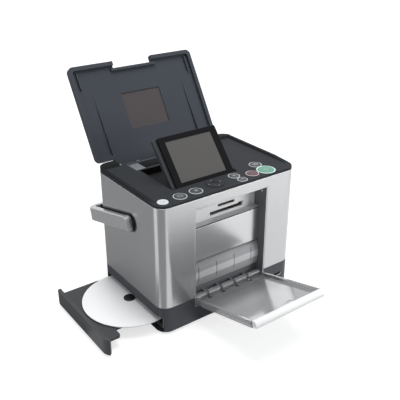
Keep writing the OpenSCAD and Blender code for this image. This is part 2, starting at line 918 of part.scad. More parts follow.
motor_pin_r = 1.5;
idler_pin_r = 2;
motor_y = feed_y + (pitch_r(feed_teeth) + pitch_r(motor_teeth) + mesh_slack) * cos(motor_dir);
motor_z = feed_z + (pitch_r(feed_teeth) + pitch_r(motor_teeth) + mesh_slack) * sin(motor_dir);
motor_x = gear_x + gear_w + 1.4;
idler_dir = exit_dir;
idler_gap = (norm([feed_y - exit_y, feed_z - exit_z]) + pitch_r(feed_teeth) - pitch_r(exit_teeth)) / 2;
idler_y = feed_y + idler_gap * cos(idler_dir);
idler_z = feed_z + idler_gap * sin(idler_dir);
feed_turn = 0;
motor_turn = mesh_turn(feed_turn, feed_teeth, motor_teeth, motor_dir);
idler_turn = mesh_turn(feed_turn, feed_teeth, idler_teeth, idler_dir);
exit_turn = mesh_turn(idler_turn, idler_teeth, exit_teeth, idler_dir);

// Spur gear outline; the first tooth points along the given turn
module gear_shape(teeth, turn) {
    r = pitch_r(teeth);
    tip = r + 0.8 * tooth;
    root = r - 1.15 * tooth;
    step = 360 / teeth;
    half = 0.46 * step / 2;
    polygon([
        for (i = [0 : teeth - 1])
            for (p = [[root, -half * 1.62], [r, -half], [tip, -half * 0.42], [tip, half * 0.42],
                  [r, half], [root, half * 1.62]])
                [p[0] * cos(turn + i * step + p[1]), p[0] * sin(turn + i * step + p[1])]
    ]);
}

module gear_x_at(y, z, teeth, turn, bore) {
    along_x(gear_x, gear_x + gear_w)
        translate([y, z])
            difference() {
                gear_shape(teeth, turn);
                circle(r = bore, $fn = fine);
            }
}

module feed_roller() {
    color(charcoal)
    placed() {
        rod_x(-side_x - side_t - 3, gear_x + gear_w + 1, feed_y, feed_z, shaft_r);
        rod_x(-paper_w / 2, paper_w / 2, feed_y, feed_z, feed_r);
    }
}

module feed_gear() {
    color(pale)
    placed()
    difference() {
        gear_x_at(feed_y, feed_z, feed_teeth, feed_turn, shaft_r);
        for (i = [0 : 4])
            translate([gear_x - 1, feed_y, feed_z])
                rotate([i * 72, 0, 0])
                    translate([0, 11, 0])
                        rotate([0, 90, 0])
                            cylinder(h = gear_w + 2, r = 3.6, $fn = small);
    }
}

module idler_gear() {
    color(pale)
    placed() {
        gear_x_at(idler_y, idler_z, idler_teeth, idler_turn, idler_pin_r);
        rod_x(side_x - 2, gear_x + gear_w + 0.6, idler_y, idler_z, idler_pin_r);
    }
}

module exit_roller() {
    color(charcoal)
    placed() {
        gear_x_at(exit_y, exit_z, exit_teeth, exit_turn, shaft_r);
        rod_x(-side_x - side_t - 3, gear_x + gear_w + 1, exit_y, exit_z, shaft_r);
        for (x = [-42, -14, 14, 42])
            rod_x(x - 5, x + 5, exit_y, exit_z, exit_r);
    }
}

module motor_gear() {
    color(steel)
    placed() {
        gear_x_at(motor_y, motor_z, motor_teeth, motor_turn, motor_pin_r);
        rod_x(gear_x - 0.4, motor_x + 8, motor_y, motor_z, motor_pin_r);
    }
}

module motors() {
    color(steel)
    placed()
    difference() {
        union() {
            rod_x(motor_x + 1.4, half_w - wall - 2, motor_y, motor_z, 9);
            rod_y(engine_y + side_t, engine_y + 14, pulley_x, pulley_z, 9);
        }
        rod_x(motor_x, motor_x + 9, motor_y, motor_z, motor_pin_r + pin_gap);
        rod_y(engine_y, engine_y + 10, pulley_x, pulley_z, motor_pin_r + pin_gap);
    }
}

module belt_pulley() {
    color(pale)
    placed()
    difference() {
        union() {
            rod_y(belt_y - 0.5, belt_y + belt_w + 0.5, pulley_x, pulley_z, pulley_r - pin_gap);
            rod_y(belt_y - 1.6, belt_y - 0.5, pulley_x, pulley_z, pulley_r + 1.6);
            rod_y(belt_y - 1.6, engine_y + 8, pulley_x, pulley_z, motor_pin_r);
        }
        translate([pulley_x, belt_y - 2, pulley_z + 3.4])
            cube([1.6, 2, 1.6], center = true);
    }
}

module drive_belt() {
    color(black)
    placed()
    along_y(belt_y, belt_y + belt_w)
        difference() {
            union() {
                translate([0, pulley_z])
                    square([2 * pulley_x, 2 * (pulley_r + belt_t)], center = true);
                for (sx = [-1, 1])
                    translate([sx * pulley_x, pulley_z])
                        circle(r = pulley_r + belt_t, $fn = fine);
            }
            translate([0, pulley_z])
                square([2 * pulley_x, 2 * pulley_r], center = true);
            for (sx = [-1, 1])
                translate([sx * pulley_x, pulley_z])
                    circle(r = pulley_r, $fn = fine);
        }
}

carriage_w = 36;
strand_z = pulley_z - pulley_r - belt_t;

module print_carriage() {
    color(charcoal)
    placed()
    difference() {
        union() {
            block(-carriage_w / 2, carriage_w / 2, rail_y - 18, rail_y + 8, 88, 116);
            block(-carriage_w / 2 + 5, carriage_w / 2 - 5, rail_y - 16, rail_y + 6, 81, 88.5);
            block(-6, 6, rail_y + 7.5, belt_y + belt_w + 1, strand_z - 4, strand_z + belt_t + 2.6);
        }
        rod_x(-carriage_w, carriage_w, rail_y, rail_z, rail_r + pin_gap);
        block(-carriage_w / 2 + 3, carriage_w / 2 - 3, rail_y - 15, rail_y + 5, 103, 117);
        // Groove round the lower run of the belt
        block(-7, 7, belt_y - slide_gap, belt_y + belt_w + slide_gap, strand_z - slide_gap,
              strand_z + belt_t + slide_gap);
    }
}

module drive_housing() {
    color(steel)
    placed()
    difference() {
        block(drive_x0, drive_x1, -drive_y, drive_back, drive_z0, drive_z1);
        block(drive_x0 - 1, drive_x1 - drive_t, -drive_y + drive_t, drive_back - drive_t,
              drive_z0 + drive_t, drive_z1 - drive_t);
    }
}

board_x0 = drive_x1 + 10;
board_x1 = half_w - 6;
board_y0 = -half_d + 25;
board_y1 = half_d - 23;
board_z = 28;

module main_board() {
    color(copper)
    placed() {
        block(board_x0, board_x1, board_y0, board_y1, board_z, board_z + 1.6);
        for (i = [0 : 3])
            block(board_x0 + 6, board_x0 + 22, board_y0 + 10 + i * 22, board_y0 + 24 + i * 22,
                  board_z + 1.6 - eps, board_z + 3.4);
        for (i = [0 : 5])
            translate([board_x1 - 5, board_y0 + 18 + i * 12, board_z + 1.6 - eps])
                cylinder(h = 7, r = 3.5, $fn = small);
    }
}

module card_reader() {
    color(steel)
    placed()
    difference() {
        block(slot_low[0] - 10, slot_low[1] + 10, card_y + 2, card_y + 30, slot_low[2] - 4, slot_high[3] + 4);
        block(slot_high[0], slot_high[1], card_y + 1, card_y + 28, slot_high[2], slot_high[3]);
        block(slot_low[0], slot_low[1], card_y + 1, card_y + 28, slot_low[2], slot_low[3]);
    }
}

module ink_cartridge() {
    color(charcoal)
    placed()
    difference() {
        block(door_x0 + 5, door_x1 - 5, engine_y + 34, half_d - 9, door_z0 + 2, door_z1 - 3);
        block(door_x0 + 12, door_x1 - 12, half_d - 12, half_d - 8, door_z1 - 12, door_z1 - 7);
    }
}

inlet_x = half_w - 23;
inlet_z = 56;
inlet_r = 2.8;
socket_x = half_w - 53;

module rear_sockets() {
    color(black)
    placed()
    difference() {
        union() {
            rod_y(half_d - 14, half_d - 0.4, inlet_x, inlet_z, inlet_r + 1.2);
            block(inlet_x - 6, inlet_x + 6, half_d - 14, half_d - wall, inlet_z - 6, inlet_z + 6);
            block(socket_x - 6, socket_x + 6, half_d - 14, half_d - 0.6, inlet_z - 5.5, inlet_z + 5.5);
        }
        rod_y(half_d - 10, half_d, inlet_x, inlet_z, inlet_r);
        block(socket_x - 4.2, socket_x + 4.2, half_d - 10, half_d, inlet_z - 3.9, inlet_z + 3.9);
    }
}

camera_x = half_w - 22.5;
camera_z = 20.5;

module camera_socket() {
    color(steel)
    placed()
    difference() {
        block(camera_x - 6.8, camera_x + 6.8, -half_d + 0.5, -half_d + 10.6, camera_z - 2.8, camera_z + 2.8);
        block(camera_x - 6.2, camera_x + 6.2, -half_d - 1, -half_d + 9.4, camera_z - 2.2, camera_z + 2.2);
        block(camera_x - 8, camera_x + 8, -half_d - 1, -half_d + 0.5, camera_z - 3, camera_z + 3);
    }
}

door_y = half_d - wall / 2;
door_pin_r = 0.8;
door_pivot_z = door_z0 + 1.8;

module cartridge_door() {
    color(charcoal)
    placed()
    difference() {
        union() {
            block(door_x0 + slide_gap, door_x1 - slide_gap, door_y - door_t / 2, door_y + door_t / 2,
                  door_pivot_z, door_z1 - slide_gap);
            rod_x(door_x0 + slide_gap, door_x1 - slide_gap, door_y, door_pivot_z, door_t / 2);
            rod_x(door_x0 - 2.6, door_x1 + 2.6, door_y, door_pivot_z, door_pin_r);
        }
        // Finger hollow along the top edge
        translate([(door_x0 + door_x1) / 2, door_y + door_t / 2 + 3.4, door_z1 - 7])
            rotate([0, 90, 0])
                cylinder(h = 16, r = 4.6, center = true, $fn = small);
    }
}

// ---------------------------------------------------------------- lid

module lid_pose() {
    turned(lid_hinge_y, lid_hinge_z, -lid_open)
        children();
}

window_y0 = lid_front + 44.5;
window_y1 = window_y0 + 50;
lid_floor = lid_low + lid_t - 4.4;

module lid_panel() {
    color(graphite)
    placed()
    lid_pose()
    difference() {
        union() {
            difference() {
                union() {
                    translate([0, (lid_front + lid_rear) / 2, 0])
                        soft_slab(lid_w, lid_rear - lid_front, lid_r, lid_low, lid_low + lid_t, lid_edge);
                    block(-lid_tail_x, lid_tail_x, lid_rear - 8, half_d - 1, lid_low, lid_low + lid_t);
                }
                // Hollow inside the rim
                translate([0, 0, lid_low - 1])
                    linear_extrude(height = lid_floor - lid_low + 1)
                        round_box(-lid_w / 2 + lid_rim, lid_w / 2 - lid_rim, lid_front + lid_rim,
                                  lid_rear - lid_rim, lid_r - 3);
                block(-lid_tail_x + 2, lid_tail_x - 2, lid_rear - 9, half_d - 7, lid_low - 1, lid_floor);
                // Finger notch in the front edge
                block(-30, 30, lid_front - 1, lid_front + 9.4, lid_low - 1, lid_low + lid_t + 1);
            }
            // Solid edge behind the notch
            block(-35, 35, lid_front + 9.4, lid_front + 13, lid_low + 0.6, lid_floor + 1);
            // Long ribs beside the tail
            for (sx = [-1, 1])
                along_x(sx * lid_tail_x - 0.8, sx * lid_tail_x + 0.8)
                    polygon([
                        [lid_rear - 2, lid_low], [lid_rear - 2, lid_floor + 1],
                        [lid_front + 37, lid_floor + 1], [lid_front + 37, lid_floor - 0.1]
                    ]);
            // Latch tabs
            for (sx = [-1, 1])
                block(sx * (lid_w / 2 - 11) - 1, sx * (lid_w / 2 - 11) + 1, lid_front + 9, lid_front + 31,
                      lid_low + 0.8, lid_floor + 1);
            // Hinge knuckles
            for (k = knuckles)
                along_x(k[0], k[1])
                    difference() {
                        union() {
                            translate([lid_hinge_y, lid_hinge_z])
                                circle(r = lid_knuckle_r, $fn = fine);
                            translate([lid_hinge_y - lid_knuckle_r, lid_hinge_z])
                                square([2 * lid_knuckle_r, lid_low - lid_hinge_z + 1]);
                        }
                        translate([lid_hinge_y, lid_hinge_z])
                            circle(r = lid_pin_r, $fn = fine);
                    }
        }
        // Window opening with a step for the pane
        block(-window_w / 2 + 1.5, window_w / 2 - 1.5, window_y0 + 1.5, window_y1 - 1.5,
              lid_floor - 1, lid_low + lid_t + 1);
        block(-window_w / 2, window_w / 2, window_y0, window_y1, lid_floor - 1, lid_floor + 2.4);
        // Fine grooves on the outside, one over each side rib
        for (sx = [-1, 1])
            block(sx * lid_tail_x - 0.6, sx * lid_tail_x + 0.6, lid_front - 1, lid_rear + 1,
                  lid_low + lid_t - 0.6, lid_low + lid_t + 1);
    }
}

module lid_window() {
    color([0.3, 0.26, 0.24, 0.5])
    placed()
    lid_pose()
    block(-window_w / 2, window_w / 2, window_y0, window_y1, lid_floor + 0.9, lid_floor + 2.4);
}

module lid_pin() {
    color(steel)
    placed()
    lid_pose()
    rod_x(lugs[0][0], lugs[3][1], lid_hinge_y, lid_hinge_z, lid_pin_r);
}

// ---------------------------------------------------------------- screen

module lcd_pose() {
    turned(lcd_hinge_y, lcd_hinge_z, lcd_tilt)
        children();
}

lcd_back_t = lcd_t - 2.5;
lcd_low = lcd_face - lcd_t;
glass_x0 = lcd_x0 + 14.9;
glass_x1 = lcd_x1 - 10.1;
glass_y0 = lcd_front + 7.7;
glass_y1 = lcd_front + lcd_len - 6.9;

module lcd_back() {
    color(charcoal)
    placed()
    lcd_pose() {
        difference() {
            translate([(lcd_x0 + lcd_x1) / 2, lcd_front + lcd_len / 2, 0])
                soft_tub(lcd_w, lcd_len, 3, lcd_low, lcd_low + lcd_back_t, lcd_edge);
            // Relief on the back
            for (i = [0 : 5])
                block(glass_x0 + 8, glass_x1 - 8, lcd_front + 22 + i * 5, lcd_front + 24 + i * 5,
                      lcd_low - 1, lcd_low + 0.6);
        }
        // Finger grip along the left edge
        block(lcd_x0, lcd_x0 + 1.4, lcd_front + 4, lcd_front + lcd_len - 3,
              lcd_low + lcd_back_t - eps, lcd_face - 0.7);
        rod_x(lcd_x0 - well_gap - well_t + 0.3, lcd_x0 + 4, lcd_hinge_y, lcd_hinge_z, lcd_pin_r);
        rod_x(lcd_x1 - 4, lcd_x1 + well_gap + well_t - 0.3, lcd_hinge_y, lcd_hinge_z, lcd_pin_r);
    }
}

module lcd_frame() {
    color(black)
    placed()
    lcd_pose()
    difference() {
        translate([(lcd_x0 + lcd_grip + lcd_x1) / 2, lcd_front + lcd_len / 2, 0])
            soft_slab(lcd_w - lcd_grip, lcd_len, 2, lcd_low + lcd_back_t, lcd_face, lcd_edge / 2);
        block(glass_x0, glass_x1, glass_y0, glass_y1, lcd_low, lcd_face + 1);
        rod_x(lcd_x1 - 5, lcd_x1 + 4, lcd_hinge_y, lcd_hinge_z, lcd_pin_r);
    }
}

module lcd_glass() {
    color([0.32, 0.32, 0.31])
    placed()
    lcd_pose()
    block(glass_x0, glass_x1, glass_y0, glass_y1, lcd_low + lcd_back_t, lcd_face - 0.5);
}

// ---------------------------------------------------------------- handle

module handle_pose() {
    translate([0, pivot_y, pivot_z])
        rotate([-handle_droop, 0, 0])
            children();
}

// Cross-section of the strap, about its middle
module strap_section() {
    round_rect(strap_t, strap_h, strap_edge);
}

module handle_strap() {
    strap_x = (arm_in + arm_out) / 2;
    bend_r = strap_corner - strap_t / 2;
    color(silver)
    placed()
    handle_pose() {
        for (sx = [-1, 1]) {
            // Arm, rounded at the upper corner of its front end
            difference() {
                along_y(-arm_lead, handle_reach - strap_corner)
                    translate([sx * strap_x, 0])
                        strap_section();
                along_x(sx * strap_x - strap_t, sx * strap_x + strap_t)
                    translate([nose_r - arm_lead, strap_h / 2 - nose_r])
                        difference() {
                            translate([-nose_r - 1, 0])
                                square([nose_r + 1, nose_r + 1]);
                            circle(r = nose_r, $fn = fine);
                        }
            }
            // Bend into the crossbar
            translate([sx * (arm_out - strap_corner), handle_reach - strap_corner, 0])
                rotate([0, 0, sx > 0 ? 0 : 90])
                    rotate_extrude(angle = 90, $fn = fine)
                        translate([bend_r, 0])
                            strap_section();
            // Stub pin
            rod_x(sx > 0 ? half_w - 8 : -arm_in - eps, sx > 0 ? arm_in + eps : -half_w + 8, 0, 0,
                  handle_pin_r);
        }
        // Crossbar
        along_x(-arm_out + strap_corner, arm_out - strap_corner)
            translate([handle_reach - strap_t / 2, 0])
                strap_section();
    }
}

module handle_grip() {
    color(black)
    placed()
    handle_pose()
    block(-arm_in + 9, arm_in - 9, handle_reach - strap_t - 2.2, handle_reach - strap_t,
          -strap_h / 2 + 1, strap_h / 2 - 1);
}

// ---------------------------------------------------------------- output tray

module tray_pose() {
    translate([0, tray_hinge_y, tray_hinge_z])
        rotate([-tray_rise, 0, 0])
            children();
}

barrel_r = 4.2;
tray_low = tray_top - tray_t;

module output_tray() {
    color(smoke)
    placed()
    tray_pose()
    difference() {
        union() {
            // Side rims
            for (sx = [-1, 1])
                along_x(sx > 0 ? tray_x - tray_rim : -tray_x, sx > 0 ? tray_x : -tray_x + tray_rim) {
                    circle(r = barrel_r, $fn = fine);
                    polygon([
                        [0, tray_top], [-tray_len + 7, tray_top], [-tray_len + 7, tray_low],
                        [-16, tray_low], [-8, -barrel_r], [0, -barrel_r]
                    ]);
                }
            // Floor
            block(-tray_x, tray_x, -tray_len + 7, 0, -5, -5 + tray_floor);
            // Barrel
            rod_x(-tray_x, tray_x, 0, 0, barrel_r);
            for (sx = [-1, 1])
                rod_x(sx > 0 ? tray_x - 1 : -recess_x - 1.2,
                      sx > 0 ? recess_x + 1.2 : -tray_x + 1, 0, 0, tray_pin_r);
        }
        // Slots for the fixed comb
        for (x = comb_xs)
            block(x - 2.2, x + 2.2, -12, 6, -8, 6);
        // Thumb hollow near the far end
        translate([14, -tray_len + 14, -5 + tray_floor])
            cylinder(h = 1, r = 6, center = true, $fn = small);
    }
}

module tray_lip() {
    color(pale)
    placed()
    tray_pose()
    along_x(-tray_x + 1.2, tray_x - 1.2)
        polygon([
            [-tray_len + 7, -5], [-tray_len + 7, tray_top], [-tray_len + 3.6, tray_top + 0.5],
            [-tray_len + 1.6, tray_top - 0.6], [-tray_len + 0.4, -2], [-tray_len, -4.6],
            [-tray_len + 0.6, tray_low], [-tray_len + 4, tray_low]
        ]);
}

// ---------------------------------------------------------------- disc drive

tongue_x = -half_w - disc_out + 25.4;
tongue_y = -half_d + 15.5;
tongue_r = 4;

module disc_tray() {
    color(charcoal)
    placed()
    difference() {
        translate([0, 0, plate_z + 1.2])
            linear_extrude(height = plate_t) {
                translate([tongue_x - tongue_r, tongue_y + tongue_r])
                    circle(r = tongue_r, $fn = small);
                polygon([
                    [-half_w - disc_out + bezel_t, tongue_y],
                    [tongue_x - tongue_r, tongue_y],
                    [tongue_x, tongue_y + tongue_r],
                    [tongue_x, -43],
                    [disc_x + 68, -43],
                    [disc_x + 68, 49],
                    [disc_x - 12.5, 49],
                    [disc_x - 12.5, bezel_y1],
                    [-half_w - disc_out + bezel_t + 1, bezel_y1],
                    [-half_w - disc_out + bezel_t, bezel_y1 - 4]
                ]);
            }
        // Round seat for the disc
        translate([disc_x, 0, plate_z + 1.2 + plate_t - 1])
            cylinder(h = 2, r = disc_r + 1, $fn = 96);
        // Opening for hub and pickup
        translate([disc_x, 0, plate_z])
            cylinder(h = 8, r = 15, $fn = fine);
        block(disc_x, disc_x + 52, -11, 11, plate_z, plate_z + 8);
    }
}

module disc_bezel() {
    color(charcoal)
    placed()
    translate([-disc_out, 0, 0])
        difference() {
            translate([0, 0, bezel_z])
                linear_extrude(height = bezel_h)
                    intersection() {
                        difference() {
                            round_rect(body_w, body_d, corner_r);
                            round_rect(body_w - 2 * bezel_t, body_d - 2 * bezel_t, corner_r - bezel_t);
                        }
                        bezel_plan(0);
                    }
            // Eject button hole and indicator dimple
            along_x(-half_w - 1, -half_w + bezel_t + 1)
                round_box(eject_y - 5.3, eject_y + 5.3, eject_z - 1.9, eject_z + 1.9, 1.89);
            rod_x(-half_w - 1, -half_w + 0.6, eject_y + 14, eject_z, 0.9);
        }
}

eject_y = -8;
eject_z = 10.5;

module eject_button() {
    color(graphite)
    placed()
    translate([-disc_out, 0, 0]) {
        along_x(-half_w - 0.5, -half_w + 3.4)
            round_box(eject_y - 4.9, eject_y + 4.9, eject_z - 1.5, eject_z + 1.5, 1.49);
    }
}

module pickup_unit() {
    color(steel)
    placed() {
        difference() {
            union() {
                translate([disc_x, 0, 7.4])
                    cylinder(h = 4.2, r = 12, $fn = fine);
                block(disc_x - 8, disc_x + 64, -10, -8, 9.4, 12);
                block(disc_x - 8, disc_x + 64, 8, 10, 9.4, 12);
                block(disc_x + 60, disc_x + 64, -46, 46, 9.8, plate_z + 1.2);
            }
            translate([disc_x, 0, 6])
                cylinder(h = 8, r = motor_pin_r + pin_gap, $fn = fine);
        }
        block(disc_x + 22, disc_x + 38, -8.5, 8.5, 8.6, 12.4);
        translate([disc_x + 27, 0, 12.4 - eps])
            cylinder(h = 1, r = 2.4, $fn = small);
    }
}

module disc() {
    color(pale)
    placed()
    translate([disc_x, 0, disc_z])
        difference() {
            cylinder(h = disc_t, r = disc_r, $fn = 128);
            translate([0, 0, -1])
                cylinder(h = disc_t + 2, r = disc_hole_r, $fn = fine);
        }
}

module spindle_hub() {
    color(black)
    placed()
    translate([disc_x, 0, 0]) {
        translate([0, 0, disc_z - 3.6])
            cylinder(h = 3.6, r = 13, $fn = fine);
        translate([0, 0, disc_z - 8.2])
            cylinder(h = 6, r = motor_pin_r, $fn = fine);
        translate([0, 0, disc_z - eps])
            cylinder(h = disc_t + 1, r = disc_hole_r, $fn = fine);
        translate([0, 0, disc_z + disc_t + 1 - eps])
            cylinder(h = 0.7, r = disc_hole_r - 1.6, $fn = fine);
    }
}

// ---------------------------------------------------------------- buttons

module round_button(at) {
    placed()
    translate([at[0], at[1], 0]) {
        soft_disc(at[2], shell_top + 0.9, deck_z + button_h, button_edge);
        translate([0, 0, shell_top - 3])
            cylinder(h = 4, r = min(at[2] - 1, button_stem_r), $fn = small);
    }
}

module power_button() {
    color(pale)
    round_button(power_at);
}

module menu_button() {
    color(graphite)
    round_button(menu_at);
}

module display_button() {
    color(graphite)
    round_button(display_at);
}

module nav_pad() {
    color(graphite)
    placed()
    translate([pad_at[0], pad_at[1], shell_top - 2.4])
        difference() {
            union() {
                cylinder(h = deck_t + 2.4 + button_h, r = ok_r + 3, $fn = fine);
                soft_disc(pad_at[2], 3.3, deck_t + 2.4 + button_h, button_edge);
            }
            translate([0, 0, -1])
                cylinder(h = 12, r = ok_r + button_gap, $fn = fine);
            // Direction marks sunk in the ring
            for (turn = [0 : 90 : 270])
                rotate([0, 0, turn])
                    translate([0, (ok_r + pad_at[2]) / 2 + 0.6, deck_t + 2.4 + button_h])
                        cylinder(h = 0.6, r = 1.1, center = true, $fn = small);
        }
}

module ok_button() {
    color(black)
    round_button([pad_at[0], pad_at[1], ok_r]);
}

module zoom_in_button() {
    color(graphite)
    round_button(zoom_in_at);
}

module zoom_out_button() {
    color(graphite)
    round_button(zoom_out_at);
}

module cancel_button() {
    color(graphite)
    round_button(cancel_at);
}

module view_button() {
    color(graphite)
    round_button(view_at);
}

module start_button() {
    color(green)
    round_button(start_at);
}

module edge_guide() {
    color(silver)
    placed()
    difference() {
        block(-feed_x + 0.6, guide_x, feed_y0 + 1, feed_y1 - 2, deck_z - 22, deck_z - 0.6);
        block(-feed_x + 2.4, guide_x - 1.8, feed_y0 - 1, feed_y1 - 4, deck_z - 23, deck_z - 3);
        // Ribbed top for the finger
        for (i = [0 : 4])
            block(-feed_x, guide_x + 1, feed_y0 + 3.4 + i * 3.6, feed_y0 + 5 + i * 3.6, deck_z - 1.2, deck_z);
    }
}

// ---------------------------------------------------------------- choice of node

base_case();
base_screws();
rubber_feet();
outer_shell();
rear_panel();
screw_posts();
top_deck();
lcd_well();
recess_liner();
card_panel();
inner_panel();
exit_guide();
latch_pin();
pocket_liners();
hinge_bracket();
feed_chute();
chassis_frame();
drive_housing();
motors();
main_board();
card_reader();
ink_cartridge();
rear_sockets();
camera_socket();
drive_belt();
lid_panel();
lid_window();
lid_pin();
lcd_frame();
lcd_back();
lcd_glass();
handle_strap();
handle_grip();
output_tray();
tray_lip();
disc_tray();
disc_bezel();
eject_button();
pickup_unit();
disc();
spindle_hub();
power_button();
menu_button();
display_button();
nav_pad();
ok_button();
zoom_in_button();
zoom_out_button();
cancel_button();
view_button();
start_button();
edge_guide();
feed_roller();
feed_gear();
idler_gear();
exit_roller();
motor_gear();
belt_pulley();
print_carriage();
cartridge_door();
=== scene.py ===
"""Looks of a compact photo printer that stands open: lid raised, screen tilted up, print tray let
down, disc tray half out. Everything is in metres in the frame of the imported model."""

import json
import math

import bmesh
import bpy
import numpy as np
from mathutils import Matrix, Vector

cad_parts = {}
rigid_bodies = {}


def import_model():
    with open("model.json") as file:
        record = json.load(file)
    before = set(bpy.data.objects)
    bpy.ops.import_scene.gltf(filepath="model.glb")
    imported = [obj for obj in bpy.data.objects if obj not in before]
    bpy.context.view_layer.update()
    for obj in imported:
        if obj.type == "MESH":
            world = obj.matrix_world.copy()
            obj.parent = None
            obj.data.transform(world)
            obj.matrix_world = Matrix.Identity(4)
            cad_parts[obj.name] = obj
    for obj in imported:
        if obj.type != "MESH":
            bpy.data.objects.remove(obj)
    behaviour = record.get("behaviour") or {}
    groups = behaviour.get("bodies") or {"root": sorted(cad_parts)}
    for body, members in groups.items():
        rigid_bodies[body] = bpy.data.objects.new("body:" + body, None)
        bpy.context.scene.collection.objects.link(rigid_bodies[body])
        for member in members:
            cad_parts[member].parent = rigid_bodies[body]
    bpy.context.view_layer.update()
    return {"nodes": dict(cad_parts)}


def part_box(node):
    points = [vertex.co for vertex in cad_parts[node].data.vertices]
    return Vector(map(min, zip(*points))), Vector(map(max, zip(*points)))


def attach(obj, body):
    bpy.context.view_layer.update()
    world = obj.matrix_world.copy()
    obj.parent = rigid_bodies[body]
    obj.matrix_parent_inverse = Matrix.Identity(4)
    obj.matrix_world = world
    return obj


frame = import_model()


# ---------------------------------------------------------------- Camera
# A long lens that looks down on the front left corner of the machine. Its place is counted from
# the middle of the casing, which the deck's outline gives, and its turns are in degrees.
SENSOR_WIDTH = 36
LENS_LENGTH = 54.73
CAMERA_SHIFT = (0.0256, -0.0077)
CAMERA_FROM_MIDDLE = (-0.41849, -0.57258, 0.46734)
CAMERA_TURN, CAMERA_DIP, CAMERA_ROLL = 35.461, 25.419, -0.409


def stand(name, data):
    """Puts a new object with that data into the scene, at the origin."""
    thing = bpy.data.objects.new(name, data)
    bpy.context.scene.collection.objects.link(thing)
    return thing


deck_low, deck_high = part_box("top_deck")
casing_middle = Vector(((deck_low[0] + deck_high[0]) / 2, (deck_low[1] + deck_high[1]) / 2, 0))
camera_data = bpy.data.cameras.new("camera")
camera_data.sensor_width = SENSOR_WIDTH
camera_data.lens = LENS_LENGTH
camera_data.shift_x, camera_data.shift_y = CAMERA_SHIFT
camera_data.clip_start = 0.01
camera = stand("camera", camera_data)
camera.matrix_world = (
    Matrix.Translation(casing_middle + Vector(CAMERA_FROM_MIDDLE))
    @ Matrix.Rotation(-math.radians(CAMERA_TURN), 4, "Z")
    @ Matrix.Rotation(math.pi / 2 - math.radians(CAMERA_DIP), 4, "X")
    @ Matrix.Rotation(math.radians(CAMERA_ROLL), 4, "Z")
)
bpy.context.scene.camera = camera
bpy.context.scene.view_settings.view_transform = "Standard"


# ---------------------------------------------------------------- Studio
# A pale floor under a soft sky and three soft lamps. The floor and the sky show white to the
# camera, in gloss and through glass, and the floor still takes the machine's shadow. The floor's
# own glow rises from under the machine outwards.
SKY_TINT = (0.95, 0.97, 1.0, 1)
SKY_LEVEL = 0.36
FLOOR_REACH = 6.0
FLOOR_TONE = 0.5
GLOW_NEAR, GLOW_FAR = 0.4, 2.4
GLOW_LOW, GLOW_HIGH = 0.68, 0.95


def grey(tone):
    """The same linear tone in all three colours."""
    return (tone, tone, tone, 1)


def add_node(tree, kind, feeds=None, **settings):
    """A new node of a tree. Settings are its own properties, and feeds gives its inputs, by name
    or by number, either a constant or the output of another node."""
    node = tree.nodes.new(kind)
    for label, value in settings.items():
        setattr(node, label, value)
    for label, feed in (feeds or {}).items():
        if isinstance(feed, bpy.types.NodeSocket):
            tree.links.new(feed, node.inputs[label])
        else:
            node.inputs[label].default_value = feed
    return node


def bare_tree(owner):
    """The node tree of a material or a world, emptied."""
    owner.use_nodes = True
    owner.node_tree.nodes.clear()
    return owner.node_tree


def seen_rays(tree):
    """The output that is 1 on rays from the camera, in gloss and through glass, and else 0."""
    rays = add_node(tree, "ShaderNodeLightPath").outputs
    seen = rays["Is Camera Ray"]
    for kind in ("Is Glossy Ray", "Is Transmission Ray"):
        seen = add_node(tree, "ShaderNodeMath", {0: seen, 1: rays[kind]},
                        operation="MAXIMUM").outputs[0]
    return seen


def flat_sheet(name, outline, height, paint):
    """A level sheet of the stage: one face with that outline at that height, turned upwards."""
    mesh = bpy.data.meshes.new(name)
    mesh.from_pydata([(x, y, height) for x, y in outline], [], [tuple(range(len(outline)))])
    mesh.update()
    if mesh.polygons[0].normal.z < 0:
        mesh.flip_normals()
    mesh.materials.append(paint)
    return stand(name, mesh)


world = bpy.data.worlds.new("studio")
bpy.context.scene.world = world
sky = bare_tree(world)
sky_light = add_node(sky, "ShaderNodeBackground", {"Color": SKY_TINT, "Strength": SKY_LEVEL})
sky_seen = add_node(sky, "ShaderNodeBackground", {"Color": grey(1), "Strength": 1.0})
sky_both = add_node(sky, "ShaderNodeMixShader", {
    0: seen_rays(sky), 1: sky_light.outputs[0], 2: sky_seen.outputs[0]})
add_node(sky, "ShaderNodeOutputWorld", {"Surface": sky_both.outputs[0]})

floor_paint = bpy.data.materials.new("floor_white")
floor_tree = bare_tree(floor_paint)
floor_place = add_node(floor_tree, "ShaderNodeTexCoord")
floor_distance = add_node(floor_tree, "ShaderNodeVectorMath", {0: floor_place.outputs["Object"]},
                          operation="LENGTH")
glow_level = add_node(floor_tree, "ShaderNodeMapRange", {
    "Value": floor_distance.outputs["Value"], "From Min": GLOW_NEAR, "From Max": GLOW_FAR,
    "To Min": GLOW_LOW, "To Max": GLOW_HIGH}, interpolation_type="SMOOTHSTEP")
floor_glow = add_node(floor_tree, "ShaderNodeEmission", {
    "Strength": glow_level.outputs["Result"]})
floor_dark = add_node(floor_tree, "ShaderNodeEmission", {"Strength": 0.0})
floor_seen = add_node(floor_tree, "ShaderNodeMixShader", {
    0: seen_rays(floor_tree), 1: floor_dark.outputs[0], 2: floor_glow.outputs[0]})
floor_matte = add_node(floor_tree, "ShaderNodeBsdfDiffuse", {"Color": grey(FLOOR_TONE)})
floor_both = add_node(floor_tree, "ShaderNodeAddShader", {
    0: floor_matte.outputs[0], 1: floor_seen.outputs[0]})
add_node(floor_tree, "ShaderNodeOutputMaterial", {"Surface": floor_both.outputs[0]})
floor_corners = [(x * FLOOR_REACH, y * FLOOR_REACH)
                 for x, y in ((-1, -1), (1, -1), (1, 1), (-1, 1))]
floor = flat_sheet("floor", floor_corners, 0, floor_paint)


